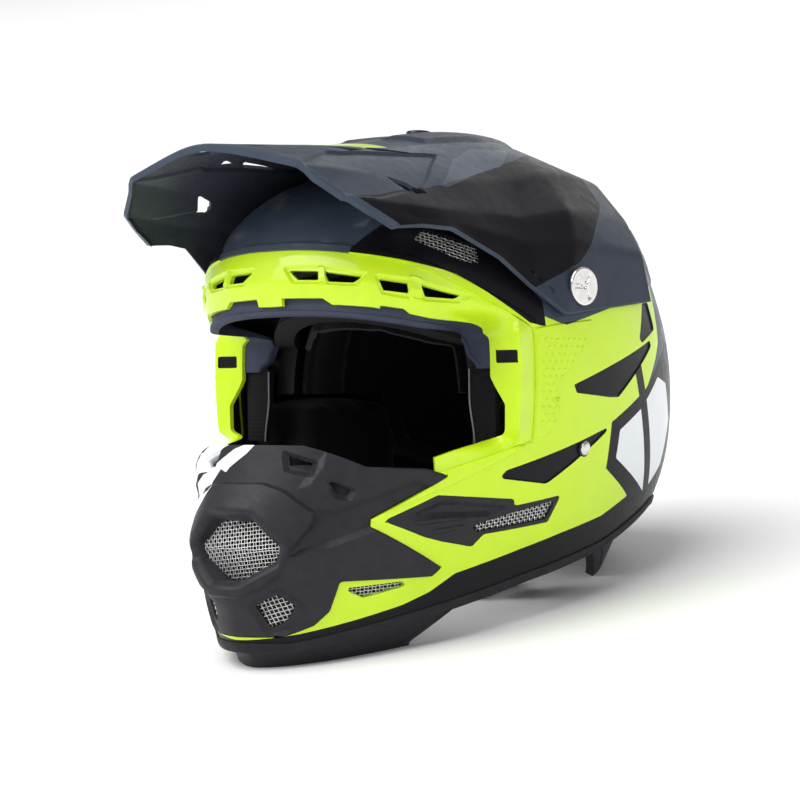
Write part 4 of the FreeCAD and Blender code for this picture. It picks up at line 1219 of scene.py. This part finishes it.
def make_skirt():
    skin = shell_skin(2.0, -24.0, 60.0, angles=(-176, -4), inset=5.9)
    skin.keep(side([(-FAR, -30), (-88, -30), (-88, 8), (-60, 32), (-60, 44), (-103, 31), (-150, 17), (-FAR, 12)]))
    skin.keep(base_plane)
    skin.groove(side([(-FAR, -30), (-92, -30), (-92, 6), (-64, 30), (-110, 20), (-150, 8), (-FAR, 4)]), 2.0, 0.7)
    skin_object("chin_skirt_cover", skin, 4.0, [M["nylon"]], "helmet", hides=["chin_skirt"], slot="nylon_black")


NECK_RINGS = np.array([
    (20, 80, 15, 126, -100, 2.3, 2.0), (60, 96, 15, 150, -100, 2.3, 2.0), (100, 108, 15, 166, -100, 2.3, 2.0),
], float)


def make_neck_guard():
    skin = ring_skin(NECK_RINGS, 2.0, angles=(-10, 190))
    outline = [(58, 54), (96, 20), (FAR, 20), (FAR, 96), (120, 96), (58, 74)]
    skin.keep(side(outline)).keep(base_plane)
    skin.round_edge(side(outline), 1.2)
    skin.groove(side([(70, 58), (100, 32), (FAR, 32), (FAR, 120), (70, 120)]), 2.4, 0.8)
    skin_object("neck_guard_cover", skin, 4.0, [M["nylon"]], "helmet", hides=["neck_guard"], slot="nylon_black")


def make_spoiler():
    outline = [(98, 290), (122, 276), (150, 262), (172, 240), (174, 212), (140, 212), (100, 250)]
    skin = shell_skin(1.6, 200.0, 292.0, angles=(20, 160))
    width = lambda points: 74 - np.abs(points[:, 0])
    field = lambda points: np.minimum(width(points), side(outline)(points))
    skin.keep(field)
    skin.lift += 3.0 + 8.0 * ramp(field(skin.base), 0, 14)
    for low in (222, 236, 250):
        louvre = lambda points, low=low: np.minimum(18 - np.abs(np.abs(points[:, 0]) - 46),
                                                    3 - np.abs(points[:, 2] - low - 3))
        skin.raise_by(louvre, -6.0, 1.2)
    skin.remove(lambda points: np.minimum(18 - np.abs(points[:, 0]), 236 - points[:, 2]))
    skin.coat(lambda points: 20 - np.abs(points[:, 0]), 1)
    skin_object("rear_hood", skin, 0.0, [M["slate"], M["black"]], "helmet", hides=["rear_spoiler"],
                slot="visor_paint")


# ---- visor ----
def visor_grid(cell=1.6):
    """Points of the visor's outer face: rows from front to back, columns from right to left."""
    columns = VISOR_ROWS.shape[1]
    knots = np.concatenate([[0], np.cumsum(np.linalg.norm(np.diff(VISOR_ROWS[:, 2], axis=0), axis=1))])
    along = np.linspace(0, knots[-1], int(knots[-1] / cell))
    dense = np.zeros((len(along), columns, 3))
    for column in range(columns):
        if column < 3:
            dense[:, column] = spline(knots, VISOR_ROWS[:, column], along)
        else:
            dense[:, column] = np.stack([np.interp(along, knots, VISOR_ROWS[:, column, k]) for k in range(3)], -1)
    mirrored = dense[:, :0:-1] * [-1, 1, 1]
    full = np.concatenate([mirrored, dense], axis=1)
    places = np.concatenate([[0], np.cumsum(np.linalg.norm(np.diff(full, axis=1), axis=2).mean(axis=0))])
    across = np.linspace(0, places[-1], int(places[-1] / cell))
    grid = np.zeros((len(along), len(across), 3))
    crown = slice(columns - 3, columns + 2)
    for i, row in enumerate(full):
        straight = np.stack([np.interp(across, places, row[:, k]) for k in range(3)], -1)
        curved = spline(places[crown], row[crown], across)
        middle = (across >= places[columns - 3]) & (across <= places[columns + 1])
        grid[i] = np.where(middle[:, None], curved, straight)
    return grid


def softened(grid, passes):
    """Creases of a grid rounded by averaging along its rows and columns, with the edges kept."""
    for _ in range(passes):
        inner = grid.copy()
        inner[:, 1:-1] = (grid[:, :-2] + 2 * grid[:, 1:-1] + grid[:, 2:]) / 4
        grid = inner.copy()
        grid[1:-1] = (inner[:-2] + 2 * inner[1:-1] + inner[2:]) / 4
    return grid


VISOR_RECESS = [(64, -181), (50, -140), (54, -131), (55, -95), (55, -58), (57, -47), (68, -66), (80, -85),
                (86, -100), (92, -140), (90, -168), (76, -178)]
VISOR_BLACK = [
    (-170, 225), (-166, 262), (-138, 264), (-101, 271), (-95, 269), (-81, 272), (-75, 271), (-33, 283), (28, 298),
    (60, 300), (66, 290), (62, 268), (40, 255), (20, 240), (4, 229), (-15, 222), (-35, 215), (-50, 210),
    (-60, 205), (-120, 225),
]
# A strip along the visor's shoulder, just above the black, in the lighter slate: painted highlight.
VISOR_HIGHLIGHT = [(-79, 272), (-44, 290), (-13, 300), (19, 301), (-10, 288)]
VISOR_SLIT = [(-46, 222.5), (-43, 223.5), (-19, 207), (-21, 205)]
VISOR_RIDGE = [(12, -52), (40, -40), (45, 10), (36, 58), (12, 64), (10, 20), (10, -20)]


def along_curve(curve, reach):
    """A field: how far within reach of a curve points lie."""
    curve = np.asarray(curve, float)
    steps = np.concatenate([[0], np.cumsum(np.linalg.norm(np.diff(curve, axis=0), axis=1))])
    places = np.arange(0, steps[-1], 0.4)
    dense = np.stack([np.interp(places, steps, curve[:, k]) for k in range(3)], -1)

    def field(points):
        nearest = np.full(len(points), 50.0)
        low, high = dense.min(axis=0) - 12, dense.max(axis=0) + 12
        close = np.flatnonzero(((points > low) & (points < high)).all(axis=1))
        for some in np.array_split(close, max(1, len(close) // 4000)):
            gaps = points[some][:, None] - dense[None]
            nearest[some] = np.sqrt((gaps ** 2).sum(-1).min(axis=1))
        return reach - nearest
    return field


def make_visor():
    grid = softened(visor_grid(), 3)
    rows, columns = grid.shape[:2]
    normals = grid_normals(grid[::-1], False)[::-1]
    triangles = grid_triangles(rows, columns, False)[:, ::-1]
    skin = Skin(grid.reshape(-1, 3), normals.reshape(-1, 3), triangles)
    up = np.sign((skin.normals[:, 2]).sum())
    skin.normals *= up
    skin.raise_by(above(VISOR_RECESS), -1.6, 1.8)
    skin.raise_by(above(VISOR_RIDGE, 4.0), 2.4, 6.0)
    skin.raise_by(side(VISOR_SLIT, 0.8), -1.2, 0.6)
    skin.coat(side(VISOR_BLACK), 1)
    # Painted highlight: the strip along the shoulder in the lighter slate.
    skin.coat(side(VISOR_HIGHLIGHT), 2)
    skin.coat(above([(8, -132), (30, -128), (47, -104), (47, -82), (30, -86), (14, -102)]), 3)
    for sign in (1, -1):
        centre = np.array([sign * SIDE_SCREW_X, *TILT_PIVOT])
        disc = lambda points, centre=centre: 12.6 - np.linalg.norm((points - centre)[:, 1:], axis=1)
        skin.coat(disc, 0)
        skin.remove(lambda points, centre=centre: 3.5 - np.linalg.norm((points - centre)[:, 1:], axis=1))
    for hole in ([(14, -176), (28, -173), (24, -158), (12, -158)],
                 [(76, -119), (80, -104), (89, -96), (89, -107)],
                 [(40, -129), (54, -123), (52, -109)],
                 [(45, -110), (56, -66), (54, -100)]):
        skin.remove(above(hole, 1.0))
    half = SHANK_R + 0.6
    slot = [(half, TOP_SCREW_Y + SLOT_REACH[0]), (half, TOP_SCREW_Y + SLOT_REACH[1]),
            (-half, TOP_SCREW_Y + SLOT_REACH[1]), (-half, TOP_SCREW_Y + SLOT_REACH[0])]
    skin.remove(above(slot, 3.0, mirror=False))
    lip = along_curve(grid[0], 3.4)
    skin.cut(lip, 0.0, 1.4)
    near = np.clip(skin.levelled(lip, 0.0, 1.4), 0, 3.4)
    skin.under += 1.4 * ramp(near, 0.0, 2.0)
    skin.lift -= 1.0 * np.clip((near - 1.4) / 2.0, 0, 1)
    # Painted highlight: the lip and the two lower edges in the lighter slate.
    skin.coat(lip, 2)
    for edge in (grid[:, -1], grid[:, 0]):
        skin.coat(along_curve(edge, 1.1), 2)
    # Paint 0, the visor's darker slate, is painted shade.
    skin_object("visor_peak", skin, VISOR_WALL, [M["visor_slate_painted_shade"], M["visor_black"], M["slate_highlight"], M["yellow"]],
                "visor", back=M["visor_under"], hides=["visor"], slot="visor_paint")


# ---- screws and rivets ----
def side_screw_axis(sign):
    return np.array([sign * math.cos(SCREW_SPLAY), -math.sin(SCREW_SPLAY), 0])


def three_prongs(head_radius):
    """Relief of a screw's three-pronged recess with a small centre hole."""
    def relief(radius, turn, height):
        top = height > -0.05
        turn = turn + 0 * radius
        prong = np.abs(((turn * 3 / (2 * np.pi)) % 1) - 0.5) * 2 * np.pi / 3 * radius
        reach = ramp(radius, head_radius * 0.16, head_radius * 0.28)
        reach *= 1 - ramp(radius, head_radius * 0.68, head_radius * 0.78)
        sunk = reach * (1 - ramp(prong, 0.9, 1.5)) * 1.1
        hole = 1.2 * (1 - ramp(radius, head_radius * 0.09, head_radius * 0.15))
        return -np.where(top, np.maximum(sunk, hole), 0)
    return relief


def screw_head(name, origin, axis, radius, body, hides, look="screw"):
    """A shallow cupped head, its top at height 0, over a plain shank."""
    rings = np.linspace(radius - 0.9, 0.15, 30)
    profile = [(0.1, -20), (SHANK_R, -20), (SHANK_R, -HEAD_WALL), (radius - 0.5, -HEAD_WALL),
               (radius, -HEAD_WALL + 0.5),
               (radius, -0.9), (radius - 0.25, -0.35), (radius - 0.9, -0.04)]
    profile += [(r, -0.04 + 0.0 * r) for r in rings[1:]]
    points, faces = turned(profile, origin, axis, 96, three_prongs(radius))
    make_object(name, points, faces, [M[look]], body, hides=hides, slot="screw_metal", sharp=math.radians(40))


def make_screws():
    for name, sign in (("left", 1), ("right", -1)):
        origin = np.array([sign * SIDE_SCREW_X, *TILT_PIVOT])
        node = "visor_screw_" + name
        screw_head("side_screw_" + name, origin, side_screw_axis(sign), SIDE_HEAD_R, body_of(node), [node])
    rise = math.sqrt(LAND_RADIUS ** 2 - (TOP_SCREW_Y - TILT_PIVOT[0]) ** 2)
    axis = np.array([0, TOP_SCREW_Y - TILT_PIVOT[0], rise]) / LAND_RADIUS
    origin = np.array([0, *TILT_PIVOT]) + axis * (LAND_RADIUS + SCREW_GAP + HEAD_WALL)
    screw_head("top_screw", origin, axis, TOP_HEAD_R, body_of("visor_screw_top"), ["visor_screw_top"], "dark_screw")


def make_rivets():
    """Domed heads over the strap rivets, on thin dark washers."""
    for name, sign in (("left", 1), ("right", -1)):
        patch = lambda a, b: on_shell(a, b, True, sign)
        first, second = np.array([RIVET[0]]), np.array([RIVET[1]])
        point, normal = patch(first, second)[0], patch_normals(patch, first, second)[0]
        washer = [(0.1, -1.2), (5.2, -1.2), (5.2, 0.1), (4.7, 0.3), (0.1, 0.3)]
        points, faces = turned(washer, point, normal, 40)
        make_object("rivet_washer_" + name, points, faces, [M["nylon"]], "helmet", slot="steel")
        angles = np.radians(np.linspace(0, 88, 9))
        dome = [(0.1, -14.0), (2.5, -14.0), (2.5, 0.2), (4.2, 0.2), (4.3, 0.6)]
        dome += [(4.3 * math.cos(a), 0.6 + 1.5 * math.sin(a)) for a in angles[1:]]
        points, faces = turned(dome, point, normal, 40)
        make_object("rivet_" + name, points, faces, [M["steel"]], "helmet", hides=["strap_rivet_" + name],
                    slot="steel", sharp=math.radians(50))


def body_of(node):
    """The body that a CAD node rides on."""
    for body, nodes in frame["record"]["behaviour"]["bodies"].items():
        if node in nodes:
            return body
    raise KeyError(node)


# ---- inside ----
def make_comfort_liner():
    """The padded cap liner: panels crowned between sewn channels."""
    low, mid, top = 90.0, 150.0, 250.0
    rings = [(low, 78, 20, 121, -84, 2, 2), ((low + mid) / 2, 78, 20, 121, -84, 2, 2)]
    for degrees in (0, 20, 38, 54, 68, 79, 86, 89.5):
        shrink = math.cos(math.radians(degrees))
        rings.append((mid + (top - mid) * math.sin(math.radians(degrees)), 78 * shrink, 20, 20 + 101 * shrink,
                      20 - 104 * shrink, 2, 2))
    skin = ring_skin(np.array(rings, float), 2.4)
    edge = [(-FAR, 211), (-128, 211), (-86, 198), (-52, 184), (-38, 180), (-38, 152), (56, 152), (70, 120),
            (120, 102), (FAR, 102), (FAR, -FAR), (-FAR, -FAR)]
    skin.remove(side(edge))
    points = skin.base
    seams = np.full(len(points), 99.0)
    for x in (-27, 27):
        seams = np.minimum(seams, np.abs(points[:, 0] - x))
    for y in (-40, 15, 70):
        seams = np.minimum(seams, np.abs(points[:, 1] - y))
    skin.lift -= 2.6 * ramp(seams, 0.0, 9.0) ** 0.7
    skin_object("cap_liner", skin, 3.0, [M["fabric"]], body_of("comfort_liner"), hides=["comfort_liner"],
                slot="comfort_fabric")


def cad_copy(node, name, material):
    """A free copy of a CAD node's mesh, to be shaped."""
    mesh = frame["nodes"][node].data.copy()
    mesh.materials.clear()
    mesh.materials.append(material)
    piece = bpy.data.objects.new(name, mesh)
    bpy.context.scene.collection.objects.link(piece)
    return piece


def stuffed(node, name, material, voxel=4.5, pressure=4.0, cap=5.0, shrink=1.0):
    """A fabric pad in a CAD node's place: remeshed, swollen by pressure as cloth, then smoothed."""
    piece = cad_copy(node, name, material)
    bpy.context.view_layer.objects.active = piece
    remesh = piece.modifiers.new("remesh", "REMESH")
    remesh.mode = "VOXEL"
    remesh.voxel_size = voxel * MM
    bpy.ops.object.modifier_apply(modifier=remesh.name)
    mesh = piece.data
    count = len(mesh.vertices)
    rest = np.zeros(count * 3)
    mesh.vertices.foreach_get("co", rest)
    rest = rest.reshape(-1, 3)
    normals = np.zeros(count * 3, np.float32)
    mesh.vertices.foreach_get("normal", normals)
    start = rest - normals.reshape(-1, 3) * shrink * MM
    mesh.vertices.foreach_set("co", start.ravel())
    mesh.update()
    cloth = piece.modifiers.new("cloth", "CLOTH")
    cloth.settings.use_pressure = True
    cloth.settings.uniform_pressure_force = pressure
    cloth.settings.quality = 4
    cloth.settings.effector_weights.gravity = 0
    scene = bpy.context.scene
    for step in range(1, 21):
        scene.frame_set(step)
    shaped = piece.evaluated_get(bpy.context.evaluated_depsgraph_get()).to_mesh()
    end = np.zeros(count * 3)
    shaped.vertices.foreach_get("co", end)
    piece.evaluated_get(bpy.context.evaluated_depsgraph_get()).to_mesh_clear()
    piece.modifiers.remove(cloth)
    scene.frame_set(1)
    move = end.reshape(-1, 3) - start
    far = np.linalg.norm(move, axis=1, keepdims=True)
    start = start + move * np.minimum(1, cap * MM / np.maximum(far, 1e-9))
    mesh.vertices.foreach_set("co", start.ravel())
    smooth = piece.modifiers.new("smooth", "SMOOTH")
    smooth.factor, smooth.iterations = 0.5, 4
    bpy.ops.object.modifier_apply(modifier=smooth.name)
    finer = piece.modifiers.new("finer", "SUBSURF")
    finer.levels = finer.render_levels = 1
    bpy.ops.object.modifier_apply(modifier=finer.name)
    piece.data.polygons.foreach_set("use_smooth", np.ones(len(piece.data.polygons), bool))
    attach(piece, body_of(node))
    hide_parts(node)
    return piece


def make_pads():
    for name in ("left", "right"):
        stuffed("cheek_pad_" + name, "cheek_cushion_" + name, M["cheek"])
        stuffed("strap_pad_" + name, "strap_sleeve_" + name, M["cheek"], 1.6, 3.0, 1.5, 0.4)
    stuffed("chin_bar_pad", "chin_bar_cushion", M["fabric"], 4.0, 3.0, 3.0, 1.2)


# ---- chin strap ----
STRAP_SIDE_PATH = [(111.5, 98), (106, 76), (99, 62), (88, 52)]
STRAP_LEFT_PATH = STRAP_SIDE_PATH + [(70, 42), (47, 34.5)]
STRAP_RIGHT_PATH = [(-x, z) for x, z in STRAP_SIDE_PATH] + [
    (-70, 42), (-45, 34), (-15, 30), (14, 29), (30, 29.5), (34.5, 33), (34.5, 40), (31, 43.5),
    (10, 44), (-20, 44), (-46, 46)]
STRAP_WIDTH = 25.0
STRAP_WALL = 2.0


def hung(points):
    """Turned about the rivets, so that the strap hangs plumb when the helmet stands."""
    points = np.array(points, float)
    y, z = points[..., 1] - RIVET[0], points[..., 2] - RIVET[1]
    points[..., 1] = RIVET[0] + y * math.cos(REST_PITCH) - z * math.sin(REST_PITCH)
    points[..., 2] = RIVET[1] + y * math.sin(REST_PITCH) + z * math.cos(REST_PITCH)
    return points


def band(path, width, wall, steps=6):
    """A flat woven band along a path of (x, z), rounded at its edges."""
    centre = smooth_path(path, steps)
    heading = unit(np.gradient(centre, axis=0))
    normal = np.stack([-heading[:, 1], heading[:, 0]], -1)
    half, edge = width / 2, wall / 2
    section = [(-half, 0), (-half + edge * 0.5, edge * 0.8), (-half + edge * 1.5, edge)]
    section += [(t * half, edge) for t in (-0.6, -0.2, 0.2, 0.6)]
    section += [(half - edge * 1.5, edge), (half - edge * 0.5, edge * 0.8), (half, 0)]
    section += [(s, -n) for s, n in section[-2:0:-1]]
    section = np.array(section)
    grid = np.zeros((len(centre), len(section), 3))
    grid[..., 0] = centre[:, None, 0] + normal[:, None, 0] * section[None, :, 1]
    grid[..., 1] = RIVET[0] + section[None, :, 0]
    grid[..., 2] = centre[:, None, 1] + normal[:, None, 1] * section[None, :, 1]
    count = len(section)
    faces = [[i * count + j, i * count + (j + 1) % count, (i + 1) * count + (j + 1) % count, (i + 1) * count + j]
             for i in range(len(centre) - 1) for j in range(count)]
    faces += [list(range(count))[::-1], [(len(centre) - 1) * count + j for j in range(count)]]
    return grid.reshape(-1, 3), faces


def make_straps():
    for name, path in (("left", STRAP_LEFT_PATH), ("right", STRAP_RIGHT_PATH)):
        points, faces = band(path, STRAP_WIDTH, STRAP_WALL)
        make_object("webbing_" + name, hung(points), faces, [M["webbing"]], "chin_strap",
                    hides=["strap_" + name], slot="webbing", sharp=math.radians(50))


def finish_cad_nodes():
    """Give every CAD node that still shows the material of its slot."""
    looks = {
        "outer_liner": "liner_foam", "inner_liner": "liner_foam", "dampers": "damper",
        "visor_nut_top": "steel", "visor_nut_left": "steel", "visor_nut_right": "steel", "visor_post": "nylon",
        "cheek_plate_left": "nylon", "cheek_plate_right": "nylon",
        "cheek_studs_left": "nylon", "cheek_studs_right": "nylon",
        "strap_tab_left": "steel", "strap_tab_right": "steel", "d_ring_lower": "steel", "d_ring_upper": "steel",
        "strap_snap": "steel",
    }
    for node, look in looks.items():
        mesh_object = frame["nodes"][node]
        if not mesh_object.material_slots:
            mesh_object.data.materials.append(M[look])
        for material_slot in mesh_object.material_slots:
            material_slot.material = M[look]


# ---- stage, lights and camera ----
def area_light(name, place, target, size, power, colour=(1, 1, 1)):
    light = bpy.data.lights.new(name, "AREA")
    light.shape = "RECTANGLE"
    light.size, light.size_y = size
    light.energy = power
    light.color = colour
    lamp = bpy.data.objects.new(name, light)
    lamp.location = place
    lamp.rotation_euler = (Vector(target) - Vector(place)).to_track_quat("-Z", "Y").to_euler()
    bpy.context.scene.collection.objects.link(lamp)


CEILING = 0.35
FADE = (0.05, 0.14)            # heights on the unit sphere between which white turns to ceiling grey


def make_world():
    """White round the horizon and below it, and a dimmer ceiling, which keeps dark lacquer dark."""
    world = bpy.context.scene.world or bpy.data.worlds.new("world")
    bpy.context.scene.world = world
    world.use_nodes = True
    tree = world.node_tree
    background = tree.nodes["Background"]
    background.inputs["Color"].default_value = (1.0, 1.0, 1.0, 1)
    place = tree.nodes.new("ShaderNodeTexCoord")
    parts = tree.nodes.new("ShaderNodeSeparateXYZ")
    tree.links.new(place.outputs["Generated"], parts.inputs[0])
    fade = tree.nodes.new("ShaderNodeMapRange")
    for name, value in (("From Min", FADE[0]), ("From Max", FADE[1]), ("To Min", 1.02), ("To Max", CEILING)):
        fade.inputs[name].default_value = value
    tree.links.new(parts.outputs["Z"], fade.inputs["Value"])
    tree.links.new(fade.outputs["Result"], background.inputs["Strength"])


def make_sun(direction_to, power, spread):
    light = bpy.data.lights.new("sun", "SUN")
    light.energy = power
    light.angle = math.radians(spread)
    lamp = bpy.data.objects.new("sun", light)
    lamp.rotation_euler = Vector(direction_to).to_track_quat("-Z", "Y").to_euler()
    bpy.context.scene.collection.objects.link(lamp)


def make_stage():
    mesh = bpy.data.meshes.new("floor")
    reach = 30.0
    mesh.from_pydata([(-reach, -reach, 0), (reach, -reach, 0), (reach, reach, 0), (-reach, reach, 0)], [],
                     [(0, 1, 2, 3)])
    finish = Finish("floor", 1.0)
    finish.colour(finish.noise(300.0), (0.965, 0.965, 0.965, 1), (0.975, 0.975, 0.975, 1))
    finish.set(Specular_IOR_Level=0.0)
    mesh.materials.append(finish.done())
    floor = bpy.data.objects.new("floor", mesh)
    bpy.context.scene.collection.objects.link(floor)
    bpy.context.scene.view_settings.view_transform = "Standard"
    make_world()
    make_sun((0.25, 0.45, -1.0), 2.6, 60.0)
    middle = (0, 0, 0.16)
    area_light("key", (-0.7, -1.3, 1.2), middle, (1.0, 1.0), 6)
    area_light("fill", (1.7, -0.5, 0.8), middle, (0.8, 1.4), 5)
    area_light("rear", (-0.3, 1.6, 1.0), middle, (1.4, 1.0), 5)


AZIMUTH, ELEVATION, ROLL = math.radians(40.0), math.radians(0.43), math.radians(-0.69)
AIM_HEIGHT = 150.0
OFFSET_RIGHT, OFFSET_UP, DISTANCE = 11.3, 2.57, 1385.0
LENS = 99.0


def make_camera():
    back = np.array([math.sin(AZIMUTH) * math.cos(ELEVATION), -math.cos(AZIMUTH) * math.cos(ELEVATION),
                     math.sin(ELEVATION)])
    right = np.array([math.cos(AZIMUTH), math.sin(AZIMUTH), 0])
    up = np.cross(back, right)
    place = np.array([0, 0, AIM_HEIGHT]) - OFFSET_RIGHT * right - OFFSET_UP * up + DISTANCE * back
    turned_right = right * math.cos(ROLL) + up * math.sin(ROLL)
    turned_up = up * math.cos(ROLL) - right * math.sin(ROLL)
    camera = bpy.data.cameras.new("camera")
    camera.lens = LENS
    holder = bpy.data.objects.new("camera", camera)
    axes = [direction(v) for v in (turned_right, turned_up, back)]
    matrix = Matrix([[axes[j][i] for j in range(3)] for i in range(3)]).to_4x4()
    matrix.translation = Vector(to_frame(place))
    holder.matrix_world = matrix
    bpy.context.scene.collection.objects.link(holder)
    bpy.context.scene.camera = holder


make_shell()
make_chin_bar()
make_dots()
make_rim_trim()
make_chin_guard()
make_eyeport_frame()
make_gasket()
make_seal_strips()
make_screens()
make_side_vents()
make_skirt()
make_neck_guard()
make_spoiler()
make_visor()
make_screws()
make_rivets()
make_comfort_liner()
make_pads()
make_straps()
finish_cad_nodes()
make_stage()
make_camera()
